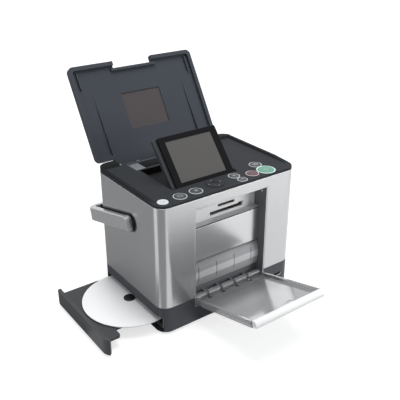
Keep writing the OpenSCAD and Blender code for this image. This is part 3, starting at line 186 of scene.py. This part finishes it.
def lamp(name, place, aim, wide, high, power, tint=(1, 1, 1)):
    """A soft lamp of that width and height at place, turned so that its -Z axis runs to aim."""
    data = bpy.data.lights.new(name, "AREA")
    data.shape = "RECTANGLE"
    data.size = wide
    data.size_y = high
    data.energy = power
    data.color = tint
    turn = (Vector(aim) - Vector(place)).to_track_quat("-Z", "Y")
    stand(name, data).matrix_world = Matrix.Translation(place) @ turn.to_matrix().to_4x4()


lamp("key", place=(0.62, -0.78, 0.3), aim=(0.0, -0.05, 0.12), wide=0.5, high=0.35, power=4)
lamp("top", place=(0.15, 0.1, 1.65), aim=(0, 0, 0.05), wide=1.2, high=1.2, power=27)
lamp("side", place=(-1.5, 0.38, 0.35), aim=(-0.1, 0, 0.1), wide=0.3, high=0.6, power=6,
     tint=(0.96, 0.98, 1.0))


# ---------------------------------------------------------------- Studio cards
# Grey cards that are seen in gloss only, and from above only, calm the bright lacquer. The gap
# between the first two is the bright line on its corner. Three lie on the floor, one hangs over
# the print tray and one just over the disc, and the two that the print bay mirrors are darker.
CARD_GREY, CARD_DARK = 0.37, 0.24
ON_FLOOR, OVER_TRAY, OVER_DISC = 0.0008, 0.058, 0.0245


def card_paint(name, tone):
    """Matt grey of that tone on a card's front, and nothing at all on its back."""
    paint = bpy.data.materials.new(name)
    tree = bare_tree(paint)
    side = add_node(tree, "ShaderNodeNewGeometry")
    front = add_node(tree, "ShaderNodeBsdfDiffuse", {"Color": grey(tone)})
    back = add_node(tree, "ShaderNodeBsdfTransparent")
    both = add_node(tree, "ShaderNodeMixShader", {
        0: side.outputs["Backfacing"], 1: front.outputs[0], 2: back.outputs[0]})
    add_node(tree, "ShaderNodeOutputMaterial", {"Surface": both.outputs[0]})
    return paint


card_grey = card_paint("card_grey", CARD_GREY)
card_dark = card_paint("card_dark", CARD_DARK)
for name, paint, height, outline in (
    ("card_behind", card_grey, ON_FLOOR,
     ((-0.0712, -0.045), (-0.95, 0.44), (-0.95, 1.6), (-0.0712, 1.6))),
    ("card_front", card_grey, ON_FLOOR,
     ((-0.076, -0.066), (-0.27, -0.94), (-1.1, -0.94), (-1.1, -0.07))),
    ("card_under", card_dark, ON_FLOOR,
     ((-0.018, -0.18), (0.07, -0.18), (0.07, -0.061), (-0.018, -0.061))),
    ("card_tray", card_dark, OVER_TRAY,
     ((-0.05, -0.2), (0.09, -0.2), (0.09, -0.08), (-0.03, -0.08))),
    ("card_disc", card_grey, OVER_DISC,
     ((-0.0718, -0.05), (-0.0718, 0.085), (-0.152, 0.085), (-0.152, -0.05))),
):
    card = flat_sheet(name, outline, height, paint)
    card.visible_camera = card.visible_diffuse = False
    card.visible_transmission = card.visible_shadow = False


# ---------------------------------------------------------------- Base
# The charcoal tub that everything stands in, injection moulded with a fine spark texture. Four
# screws come up through its floor into the shell, and rubber feet are pressed into it.
CLOSE_GRAIN, BROAD_GRAIN = 900.0, 14.0
CLOSE_PART = 0.25
EDGE_RADIUS = 0.0006
FLAT_LEAN, CORNER_LEAN = 1.0, 0.72
UPRIGHT_BRUSHING = 0.25


def add_socket(group, label, way, kind="Float", value=None):
    """An input or output of a node group, with the value that it has until it is given one."""
    socket = group.interface.new_socket(label, in_out=way, socket_type="NodeSocket" + kind)
    if value is not None:
        socket.default_value = value


def grain_group():
    """Fine surface grain as a node group: Height is a close noise, and Tone is three parts of a
    wide, slow noise and one part of the close one."""
    group = bpy.data.node_groups.new("fine_grain", "ShaderNodeTree")
    add_socket(group, "Place", "INPUT", "Vector")
    add_socket(group, "Closeness", "INPUT", value=CLOSE_GRAIN)
    add_socket(group, "Breadth", "INPUT", value=BROAD_GRAIN)
    add_socket(group, "Height", "OUTPUT")
    add_socket(group, "Tone", "OUTPUT")
    given = add_node(group, "NodeGroupInput").outputs
    close = add_node(group, "ShaderNodeTexNoise", {
        "Vector": given["Place"], "Scale": given["Closeness"], "Detail": 3})
    slow = add_node(group, "ShaderNodeTexNoise", {
        "Vector": given["Place"], "Scale": given["Breadth"], "Detail": 4, "Roughness": 0.6})
    slow_part = add_node(group, "ShaderNodeMath", {0: slow.outputs["Fac"], 1: 1 - CLOSE_PART},
                         operation="MULTIPLY")
    tone = add_node(group, "ShaderNodeMath", {
        0: close.outputs["Fac"], 1: CLOSE_PART, 2: slow_part.outputs[0]},
        operation="MULTIPLY_ADD")
    add_node(group, "NodeGroupOutput", {"Height": close.outputs["Fac"], "Tone": tone.outputs[0]})
    return group


def edge_group():
    """Softened edges as a node group: Normal is the surface's direction rounded over Radius, and
    Edge rises from 0 on a face, where its cosine with the flat direction is FLAT_LEAN, to 1 on a
    sharp corner, where it is CORNER_LEAN."""
    group = bpy.data.node_groups.new("soft_edge", "ShaderNodeTree")
    add_socket(group, "Radius", "INPUT", value=EDGE_RADIUS)
    add_socket(group, "Edge", "OUTPUT")
    add_socket(group, "Normal", "OUTPUT", "Vector")
    given = add_node(group, "NodeGroupInput").outputs
    rounded = add_node(group, "ShaderNodeBevel", {"Radius": given["Radius"]}, samples=4)
    flat = add_node(group, "ShaderNodeNewGeometry")
    lean = add_node(group, "ShaderNodeVectorMath", {
        0: rounded.outputs["Normal"], 1: flat.outputs["True Normal"]}, operation="DOT_PRODUCT")
    edge = add_node(group, "ShaderNodeMapRange", {
        "Value": lean.outputs["Value"], "From Min": FLAT_LEAN, "From Max": CORNER_LEAN})
    add_node(group, "NodeGroupOutput", {
        "Edge": edge.outputs["Result"], "Normal": rounded.outputs["Normal"]})
    return group


GRAIN = grain_group()
SOFT_EDGE = edge_group()


def shade(red, green, blue):
    """Linear colour of a display colour given as 0 to 255: the sRGB curve decodes each share."""
    share = np.array((red, green, blue)) / 255
    linear = np.where(share <= 0.04045, share / 12.92, ((share + 0.055) / 1.055) ** 2.4)
    return (*[float(v) for v in linear], 1.0)


def finish_of(name, colour, rough, metal=0.0, closeness=CLOSE_GRAIN, breadth=BROAD_GRAIN,
              depth=0.00003, swing=0.06, rough_swing=0.06, edge=EDGE_RADIUS, edge_light=1.35,
              brushed=0.0, pass_light=0.0, gloss=0.5):
    """A finish with grain and painted edge light: the colour swings by a share of itself with the
    tone of the grain and is multiplied on edges by the edge light share, a painted highlight
    above 1 and a painted shade below 1; the roughness swings about its middle, and the close
    noise gives the bump its height in metres."""

    def scaled(share):
        """The colour times that share, and at most 1."""
        return (*[min(1.0, c * share) for c in colour[:3]], 1)

    finish = bpy.data.materials.new(name)
    tree = bare_tree(finish)
    place = add_node(tree, "ShaderNodeTexCoord")
    grain = add_node(tree, "ShaderNodeGroup", {
        "Place": place.outputs["Object"], "Closeness": closeness, "Breadth": breadth},
        node_tree=GRAIN)
    soft = add_node(tree, "ShaderNodeGroup", {"Radius": edge}, node_tree=SOFT_EDGE)
    tint = add_node(tree, "ShaderNodeMix", {
        "Factor": grain.outputs["Tone"], "A": scaled(1 - swing), "B": scaled(1 + swing)},
        data_type="RGBA")
    # Painted edge light: edges take a brighter colour as a painted highlight, or a darker one as
    # painted shade.
    edge_lit = add_node(tree, "ShaderNodeMix", {
        "Factor": soft.outputs["Edge"], "A": tint.outputs["Result"], "B": scaled(edge_light)},
        data_type="RGBA")
    worn = add_node(tree, "ShaderNodeMapRange", {
        "Value": grain.outputs["Tone"], "To Min": max(0.02, rough - rough_swing),
        "To Max": rough + rough_swing})
    bump = add_node(tree, "ShaderNodeBump", {
        "Height": grain.outputs["Height"], "Normal": soft.outputs["Normal"], "Distance": depth,
        "Strength": 1.0})
    shader = add_node(tree, "ShaderNodeBsdfPrincipled", {
        "Base Color": edge_lit.outputs["Result"], "Roughness": worn.outputs["Result"],
        "Normal": bump.outputs["Normal"], "Metallic": metal, "Anisotropic": brushed,
        "Anisotropic Rotation": UPRIGHT_BRUSHING, "Transmission Weight": pass_light,
        "Specular IOR Level": gloss})
    add_node(tree, "ShaderNodeOutputMaterial", {"Surface": shader.outputs["BSDF"]})
    return finish


def dress(finish, *nodes):
    """Gives CAD nodes a finish, in each of their material slots."""
    for node in nodes:
        piece = frame["nodes"][node]
        if not piece.material_slots:
            piece.data.materials.append(finish)
        for slot in piece.material_slots:
            slot.material = finish


charcoal_moulding = finish_of("charcoal_moulding", shade(58, 61, 66), 0.48, closeness=1500,
                              depth=0.00002, gloss=0.35)
dress(charcoal_moulding, "base_case", "screw_posts")
foot_rubber = finish_of("foot_rubber", shade(206, 206, 202), 0.7, closeness=700)
dress(foot_rubber, "rubber_feet")
screw_zinc = finish_of("screw_zinc", (0.62, 0.62, 0.6, 1), 0.3, metal=1.0, closeness=600,
                       swing=0.12)
dress(screw_zinc, "base_screws")
socket_nickel = finish_of("socket_nickel", (0.5, 0.5, 0.49, 1), 0.3, metal=1.0, closeness=300,
                          swing=0.08)
dress(socket_nickel, "camera_socket")


# ---------------------------------------------------------------- Disc drive, fixed part
# The drive's case is folded from sheet steel and lies on the floor of the base. The disc tray
# slides out of it to the left.
drive_steel = finish_of("drive_steel", (0.5, 0.51, 0.52, 1), 0.38, metal=1.0, closeness=160,
                        breadth=30, swing=0.1)
dress(drive_steel, "drive_housing")


# ---------------------------------------------------------------- Main board
# A glass fibre board under green solder lacquer, with its chips and capacitors soldered on. It
# lies on stand-offs of the base.
board_lacquer = finish_of("board_lacquer", (0.02, 0.13, 0.06, 1), 0.32, closeness=420, swing=0.3)
dress(board_lacquer, "main_board")


# ---------------------------------------------------------------- Print engine
# A zinc plated frame that carries the rail, the motors, the rollers and the carriage. The wheels
# are moulded in natural acetal, and the pinion is turned brass.
plated_steel = finish_of("plated_steel", (0.55, 0.56, 0.55, 1), 0.34, metal=1.0, closeness=90,
                         breadth=40, swing=0.14)
dress(plated_steel, "chassis_frame", "motors")
acetal_white = finish_of("acetal_white", shade(232, 231, 226), 0.36, swing=0.02)
dress(acetal_white, "feed_gear", "idler_gear", "belt_pulley")
turned_brass = finish_of("turned_brass", (0.62, 0.45, 0.2, 1), 0.26, metal=1.0, closeness=1600)
dress(turned_brass, "motor_gear")
roller_rubber = finish_of("roller_rubber", shade(30, 30, 31), 0.8, closeness=1500, depth=0.00005)
dress(roller_rubber, "feed_roller", "exit_roller", "drive_belt")
carriage_black = finish_of("carriage_black", shade(34, 35, 37), 0.5, closeness=1300)
dress(carriage_black, "print_carriage", "ink_cartridge")


# ---------------------------------------------------------------- Outer shell
# The tall sleeve of the casing and its back, moulded and sprayed with a satin silver lacquer
# whose fine metal flake gives it a soft upright sheen. The back has a charcoal door for the
# cartridge and black sockets for power and data.
silver_lacquer = finish_of("silver_lacquer", (0.435, 0.44, 0.445, 1), 0.25, metal=0.9,
                           closeness=2600, depth=0.000006, swing=0.05, rough_swing=0.03,
                           edge=0.0008, edge_light=1.5, brushed=0.6)
dress(silver_lacquer, "outer_shell", "rear_panel")
dress(charcoal_moulding, "cartridge_door")
socket_black = finish_of("socket_black", shade(20, 20, 21), 0.42, closeness=1100)
dress(socket_black, "rear_sockets")


# ---------------------------------------------------------------- Print bay
# The recess that the print tray folds into: a charcoal liner with a lacquered front edge, silver
# panels round the memory card slots, a bright latch pin, and the rounded guide over which the
# prints come out. The guide carries a painted highlight band and painted shade, and the card
# panel painted shade and a painted shadow line at its ledge.
MM = 0.001
LINER_EDGE = 0.4 * MM
# Depth of the painted shadow line on the card panel's front, and height of the painted shade band
# at its foot.
PANEL_SHADOW_LINE = 0.15 * MM
LEDGE_SHADE_BAND = 4 * MM


def along_axis(tree, axis):
    """The object coordinate along one axis."""
    place = add_node(tree, "ShaderNodeTexCoord")
    split = add_node(tree, "ShaderNodeSeparateXYZ", {"Vector": place.outputs["Object"]})
    return split.outputs[axis]


def masked_lacquer_and_shadow(finish, axis, limit, colour, metal, rest=0.0):
    """A band masked off at a line, which gives the liner its lacquered edge and the card panel a
    painted shadow line: below limit along an object axis the finish takes this colour and metal
    share, and beyond it the finish keeps its colour and has the metal share rest."""
    tree = finish.node_tree
    shader = tree.nodes["Principled BSDF"]
    ground = shader.inputs["Base Color"].links[0].from_socket
    mask = add_node(tree, "ShaderNodeMath", {0: along_axis(tree, axis), 1: limit},
                    operation="LESS_THAN").outputs[0]
    blend = add_node(tree, "ShaderNodeMix", {"Factor": mask, "A": ground, "B": colour},
                     data_type="RGBA")
    share = add_node(tree, "ShaderNodeMath", {0: mask, 1: metal - rest, 2: rest},
                     operation="MULTIPLY_ADD")
    tree.links.new(blend.outputs["Result"], shader.inputs["Base Color"])
    tree.links.new(share.outputs[0], shader.inputs["Metallic"])


def painted_light_bands(finish, axis, low, high, bands):
    """Paints bands of light and shade across a finish: between low and high along an object axis,
    the colour is multiplied by shares that are joined straight. Each band is (place from 0 to 1,
    share)."""
    tree = finish.node_tree
    shader = tree.nodes["Principled BSDF"]
    ground = shader.inputs["Base Color"].links[0].from_socket
    reach = add_node(tree, "ShaderNodeMapRange", {
        "Value": along_axis(tree, axis), "From Min": low, "From Max": high})
    ramp = add_node(tree, "ShaderNodeValToRGB", {"Fac": reach.outputs["Result"]})
    marks = ramp.color_ramp.elements
    while len(marks) < len(bands):
        marks.new(0.5)
    for mark, (spot, share) in zip(marks, bands):
        mark.position = spot
        mark.color = grey(share)
    blend = add_node(tree, "ShaderNodeMix", {
        "Factor": 1.0, "A": ground, "B": ramp.outputs["Color"]},
        data_type="RGBA", blend_type="MULTIPLY")
    tree.links.new(blend.outputs["Result"], shader.inputs["Base Color"])


liner_rimmed = finish_of("liner_rimmed", shade(112, 114, 117), 0.4, closeness=1400, gloss=0.3)
liner_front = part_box("recess_liner")[0][1]
masked_lacquer_and_shadow(liner_rimmed, "Y", liner_front + LINER_EDGE, (0.43, 0.435, 0.44, 1), 0.9)
dress(liner_rimmed, "recess_liner")
silver_panel = finish_of("silver_panel", (0.53, 0.535, 0.54, 1), 0.24, metal=0.9, closeness=2600,
                         depth=0.000003, swing=0.03, rough_swing=0.03, edge=0.0005, edge_light=1.5)
dress(silver_panel, "inner_panel")
silver_paint = finish_of("silver_paint", (0.84, 0.845, 0.85, 1), 0.42, metal=0.05, closeness=2600,
                         depth=0.000004, swing=0.03, edge=0.0005, edge_light=1.1)
panel_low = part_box("card_panel")[0]
# Painted light at the ledge: the lowest band of the card panel is darkened as painted shade,
# under a bright strip.
painted_light_bands(silver_paint, "Z", panel_low[2], panel_low[2] + LEDGE_SHADE_BAND,
       [(0.0, 0.8), (0.42, 0.8), (0.46, 0.98), (1.0, 0.98)])
# A painted shadow line: the card panel's foremost face is near black.
masked_lacquer_and_shadow(silver_paint, "Y", panel_low[1] + PANEL_SHADOW_LINE, grey(0.05), 0.0, rest=0.05)
dress(silver_paint, "card_panel")
guide_grey = finish_of("guide_grey", shade(214, 215, 217), 0.42, closeness=1500, swing=0.04,
                       depth=0.00001, gloss=0.3)
guide_low, guide_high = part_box("exit_guide")
# Painted highlight: a bright band across the middle of the rounded guide, with painted shade
# above and below it.
painted_light_bands(guide_grey, "Z", guide_low[2], guide_high[2],
       [(0.0, 0.62), (0.34, 0.66), (0.38, 1.0), (0.6, 1.0), (0.66, 0.62), (1.0, 0.5)])
# Painted shade: the guide is darker towards its left end.
painted_light_bands(guide_grey, "X", guide_low[0], guide_high[0],
       [(0.0, 0.7), (0.3, 0.76), (0.6, 0.96), (1.0, 1.0)])
dress(guide_grey, "exit_guide")
reader_tin = finish_of("reader_tin", (0.5, 0.5, 0.48, 1), 0.34, metal=1.0, closeness=200)
dress(reader_tin, "card_reader")
pin_white = finish_of("pin_white", (0.9, 0.9, 0.89, 1), 0.3, metal=1.0, swing=0.01)
dress(pin_white, "latch_pin")


# ---------------------------------------------------------------- Handle
# A lacquered strap that swings on two hubs in pockets of the shell, whose silver is darkened to
# grey as painted shade, with a ribbed rubber pad inside its back for the fingers.
# Painted shade: the pockets take a darker, duller copy of the silver lacquer.
pocket_grey = finish_of("pocket_grey", shade(86, 88, 91), 0.5, metal=0.3, closeness=1400,
                        gloss=0.3)
dress(pocket_grey, "pocket_liners")
strap_lacquer = finish_of("strap_lacquer", (0.5, 0.505, 0.51, 1), 0.3, metal=0.9, closeness=2600,
                          depth=0.000006, swing=0.04, rough_swing=0.03, edge_light=1.4)
dress(strap_lacquer, "handle_strap")
grip_rubber = finish_of("grip_rubber", shade(28, 28, 30), 0.72, closeness=800, depth=0.00006)
dress(grip_rubber, "handle_grip")


# ---------------------------------------------------------------- Operating deck
# The graphite plate on top, its raised rim darkened as painted shade, with wells for the screen
# and the paper, the hinge of the lid, and the paper guide that slides in the feed opening over
# its chute.
KEY_RISE = 0.8 * MM
# Height of the painted shade band on the deck's raised rim.
RIM_SHADE_BAND = 3 * MM
graphite_moulding = finish_of("graphite_moulding", shade(46, 48, 51), 0.55, closeness=1900,
                              depth=0.000012, edge_light=2.0, gloss=0.05)
deck_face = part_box("menu_button")[1][2] - KEY_RISE
# Painted shade: above the deck face the plate turns darker on its raised rim.
painted_light_bands(graphite_moulding, "Z", deck_face, deck_face + RIM_SHADE_BAND,
       [(0.0, 1.0), (0.16, 1.0), (0.3, 0.5), (1.0, 0.42)])
dress(graphite_moulding, "top_deck")
well_black = finish_of("well_black", shade(18, 18, 20), 0.55, closeness=1200, gloss=0.15)
dress(well_black, "lcd_well")
liner_charcoal = finish_of("liner_charcoal", shade(88, 90, 93), 0.46, closeness=1400, gloss=0.3)
dress(liner_charcoal, "feed_chute")
bracket_grey = finish_of("bracket_grey", shade(120, 123, 128), 0.4, closeness=1300)
dress(bracket_grey, "hinge_bracket", "edge_guide")


# ---------------------------------------------------------------- Buttons
# Capped keys in round holes of the deck. Each hole has a thin bright ring pressed round it, and
# each key a plain printed sign: bars, crosses and a diamond laid down in thick ink.
RING_WIDTH = 1.05 * MM
START_RING_WIDTH = 1.7 * MM
RING_GAP = 0.38 * MM
RING_RISE = 0.34 * MM
SIGN_RISE = 0.07 * MM
POWER_ARC = 2.6
POWER_ARC_DROP = 0.2
POWER_ARC_GAP = 0.7
POWER_ARC_POINTS = 22
SAME_POINT = 1e-7

key_graphite = finish_of("key_graphite", shade(48, 51, 56), 0.34, closeness=1700, depth=0.00001)
dress(key_graphite, "menu_button", "display_button", "zoom_in_button", "zoom_out_button",
      "cancel_button", "view_button")
pad_graphite = finish_of("pad_graphite", shade(46, 48, 52), 0.55, closeness=1900, depth=0.000012,
                         edge_light=1.1, gloss=0.05)
dress(pad_graphite, "nav_pad")
key_black = finish_of("key_black", shade(14, 14, 15), 0.22)
dress(key_black, "ok_button")
key_white = finish_of("key_white", shade(204, 206, 208), 0.26, swing=0.01, edge_light=0.85)
dress(key_white, "power_button")
key_green = finish_of("key_green", shade(83, 140, 121), 0.3, swing=0.03, edge_light=1.3)
dress(key_green, "start_button")
ring_ink = finish_of("ring_ink", shade(196, 200, 202), 0.35, swing=0.02)
ring_rose = finish_of("ring_rose", shade(218, 182, 186), 0.35, swing=0.02)
ring_mint = finish_of("ring_mint", shade(205, 232, 224), 0.35, swing=0.02)
sign_red = finish_of("sign_red", shade(170, 52, 70), 0.45, swing=0.02, gloss=0.2)
sign_ink = finish_of("sign_ink", shade(196, 200, 202), 0.45, swing=0.02)
sign_grey = finish_of("sign_grey", shade(150, 152, 154), 0.45, swing=0.02)


def grid_piece(name, points, finish, body, around=False, along=False):
    """A surface from a grid of points, rows by columns: each cell is one quad, and around or
    along joins the last column to the first or the last row to the first. Rings of points that
    fall together are merged, and the faces are turned outwards."""
    rows, columns = points.shape[:2]
    across = np.arange(columns if around else columns - 1)
    down = np.arange(rows if along else rows - 1)
    here, there = across, (across + 1) % columns
    low, high = down[:, None] * columns, ((down + 1) % rows)[:, None] * columns
    faces = np.stack((low + here, low + there, high + there, high + here), axis=-1).reshape(-1, 4)
    mesh = bpy.data.meshes.new(name)
    mesh.from_pydata(points.reshape(-1, 3).tolist(), [], faces.tolist())
    closing = bmesh.new()
    closing.from_mesh(mesh)
    bmesh.ops.remove_doubles(closing, verts=closing.verts, dist=SAME_POINT)
    bmesh.ops.recalc_face_normals(closing, faces=closing.faces)
    closing.to_mesh(mesh)
    closing.free()
    mesh.polygons.foreach_set("use_smooth", [True] * len(mesh.polygons))
    mesh.materials.append(finish)
    piece = stand(name, mesh)
    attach(piece, body)


def ring_points(middle, radius, width, rise, steps=72, section=10):
    """Points of a flat ring: an ellipse, as wide as the ring and of that rise, carried round a
    circle of that radius."""
    turn = np.linspace(0, 2 * np.pi, steps, endpoint=False)[:, None]
    tilt = np.linspace(0, 2 * np.pi, section, endpoint=False)[None, :]
    reach = radius + width / 2 * np.cos(tilt)
    return np.stack((middle[0] + reach * np.cos(turn), middle[1] + reach * np.sin(turn),
                     middle[2] + rise * np.sin(tilt) + 0 * turn), axis=-1)


def stroke_points(corners, width, rise, steps=24, section=8):
    """Points of a pen stroke: an ellipse carried along straight runs between corners, its size
    falling to nothing at both ends as a half circle of the pen's width does."""
    corners = np.asarray(corners, float)
    runs = np.linalg.norm(np.diff(corners, axis=0), axis=1)
    reach = np.concatenate(((0,), np.cumsum(runs)))
    place = np.linspace(0, reach[-1], steps)
    spine = np.stack([np.interp(place, reach, corners[:, k]) for k in range(3)], axis=-1)
    heading = np.gradient(spine, axis=0)
    heading /= np.linalg.norm(heading, axis=1, keepdims=True)
    side = np.stack((-heading[:, 1], heading[:, 0], 0 * heading[:, 0]), axis=-1)
    end = np.clip(np.minimum(place, reach[-1] - place) / (width / 2), 0, 1)
    size = np.sqrt(np.clip(1 - (1 - end) ** 2, 0, 1))[:, None, None]
    tilt = np.linspace(0, 2 * np.pi, section, endpoint=False)[None, :, None]
    return spine[:, None] + size * (side[:, None] * width / 2 * np.cos(tilt)
                                    + np.array((0, 0, rise)) * np.sin(tilt))


def key_top(node):
    """Middle of a key's top face, and its radius."""
    low, high = np.array(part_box(node))
    middle = np.array(((low[0] + high[0]) / 2, (low[1] + high[1]) / 2, high[2]))
    return middle, (high[0] - low[0]) / 2


for node, ink, width in (
    ("menu_button", ring_ink, RING_WIDTH), ("display_button", ring_ink, RING_WIDTH),
    ("zoom_in_button", ring_ink, RING_WIDTH), ("zoom_out_button", ring_ink, RING_WIDTH),
    ("cancel_button", ring_rose, RING_WIDTH), ("view_button", ring_ink, RING_WIDTH),
    ("start_button", ring_mint, START_RING_WIDTH), ("power_button", key_black, RING_WIDTH),
):
    middle, radius = key_top(node)
    middle[2] = deck_face
    ring = ring_points(middle, radius + width / 2 + RING_GAP, width, RING_RISE)
    grid_piece(node.replace("button", "ring"), ring, ink, "casing", around=True, along=True)


def frame_body(node):
    """Name of the body that a CAD node belongs to."""
    holder = frame["nodes"][node].parent
    while holder is not None and not holder.name.startswith("body:"):
        holder = holder.parent
    return holder.name.split(":", 1)[1]


def sign(node, lines, ink, width=0.6):
    """Strokes of ink on a key, each a list of (x, y) in millimetres from the key's middle. The
    pen's width is in millimetres too."""
    middle = key_top(node)[0]
    for count, line in enumerate(lines):
        corners = [middle + np.array((x * MM, y * MM, 0)) for x, y in line]
        stroke = stroke_points(corners, width * MM, SIGN_RISE)
        grid_piece(f"{node}_sign_{count}", stroke, ink, frame_body(node), around=True)


def box_line(half_wide, half_high):
    """A rectangle's outline, once round."""
    return [(-half_wide, -half_high), (half_wide, -half_high), (half_wide, half_high),
            (-half_wide, half_high), (-half_wide, -half_high)]


arc_turns = np.linspace(POWER_ARC_GAP, 2 * math.pi - POWER_ARC_GAP, POWER_ARC_POINTS)
power_arc = [(POWER_ARC * math.sin(turn), POWER_ARC * math.cos(turn) - POWER_ARC_DROP)
             for turn in arc_turns]
sign("power_button", [power_arc, [(0, 0.6), (0, 3.2)]], sign_grey)
sign("menu_button", [box_line(2.9, 2.2), [(-1.4, 0), (1.4, 0)]], sign_ink)
sign("display_button", [[(-2.4, y), (2.4, y)] for y in (-1.5, 0, 1.5)], sign_ink)
sign("zoom_in_button", [[(-2.2, 0), (2.2, 0)], [(0, -2.2), (0, 2.2)]], sign_ink)
sign("zoom_out_button", [[(-2, 0), (2, 0)]], sign_ink)
sign("cancel_button", [[(-1.9, -1.9), (1.9, 1.9)], [(-1.9, 1.9), (1.9, -1.9)]], sign_red, 1.5)
sign("view_button", [box_line(2.6, 1.9), [(0, -1.9), (0, 1.9)]], sign_ink)
sign("nav_pad", [[(-7.6, -1), (-8.8, 0), (-7.6, 1)], [(7.6, 1), (8.8, 0), (7.6, -1)],
                 [(-1, 7.6), (0, 8.8), (1, 7.6)], [(-1, -7.6), (0, -8.8), (1, -7.6)]],
     sign_grey, 0.8)
sign("start_button", [[(-3.1, 0), (0, 2.6), (3.1, 0), (0, -2.6), (-3.1, 0)]], key_white, 0.7)


# ---------------------------------------------------------------- Screen
# A flip-up display: charcoal back shell, glossy black frame and a grey panel set flush in it.
# It turns on stub pins in the sides of its well.
back_charcoal = finish_of("back_charcoal", shade(46, 48, 51), 0.45, closeness=1700, edge=0.0007,
                          edge_light=4.0, gloss=0.2)
dress(back_charcoal, "lcd_back")
frame_black = finish_of("frame_black", shade(14, 14, 16), 0.3, swing=0.04, depth=0.000006,
                        edge_light=4.0, gloss=0.1)
dress(frame_black, "lcd_frame")
panel_grey = finish_of("panel_grey", shade(85, 84, 83), 0.3, swing=0.02, depth=0.000004,
                       gloss=0.12)
dress(panel_grey, "lcd_glass")


# ---------------------------------------------------------------- Lid
# The graphite cover that shuts over deck and screen, ribbed inside, with a smoked window that
# shows the screen when it is shut. It turns on a ground steel pin.
lid_graphite = finish_of("lid_graphite", shade(61, 65, 71), 0.55, closeness=1800, depth=0.000014,
                         edge_light=1.7, gloss=0.12)
dress(lid_graphite, "lid_panel")
window_smoke = finish_of("window_smoke", shade(76, 72, 74), 0.35, swing=0.05, depth=0.000004,
                         gloss=0.1)
dress(window_smoke, "lid_window")
ground_steel = finish_of("ground_steel", (0.7, 0.7, 0.7, 1), 0.16, metal=1.0, closeness=1200,
                         swing=0.05)
dress(ground_steel, "lid_pin")


# ---------------------------------------------------------------- Print tray
# The clear grey flap that folds down to catch the prints, with a white lip along its far edge.
# It turns on pins at the foot of the bay, and a fixed comb stands in the slots of its hinge.
tray_clear = finish_of("tray_clear", (0.4, 0.405, 0.41, 1), 0.13, swing=0.03, depth=0.000003,
                       pass_light=0.6, gloss=0.8)
dress(tray_clear, "output_tray")
lip_white = finish_of("lip_white", shade(224, 225, 225), 0.28, swing=0.01, edge_light=0.95)
dress(lip_white, "tray_lip")


# ---------------------------------------------------------------- Disc drive, moving part
# The charcoal carrier that slides out of the left side, its long front with the eject button, and
# a white printable disc held on the black hub over the lens carriage.
carrier_charcoal = finish_of("carrier_charcoal", shade(66, 67, 69), 0.5, closeness=1500,
                             edge_light=1.7, gloss=0.15)
dress(carrier_charcoal, "disc_tray", "disc_bezel")
dress(key_graphite, "eject_button")
dress(plated_steel, "pickup_unit")
hub_black = finish_of("hub_black", shade(22, 22, 24), 0.35)
dress(hub_black, "spindle_hub")
disc_white = finish_of("disc_white", shade(246, 246, 246), 0.3, swing=0.01, edge=0.0004,
                       edge_light=0.65)
dress(disc_white, "disc")
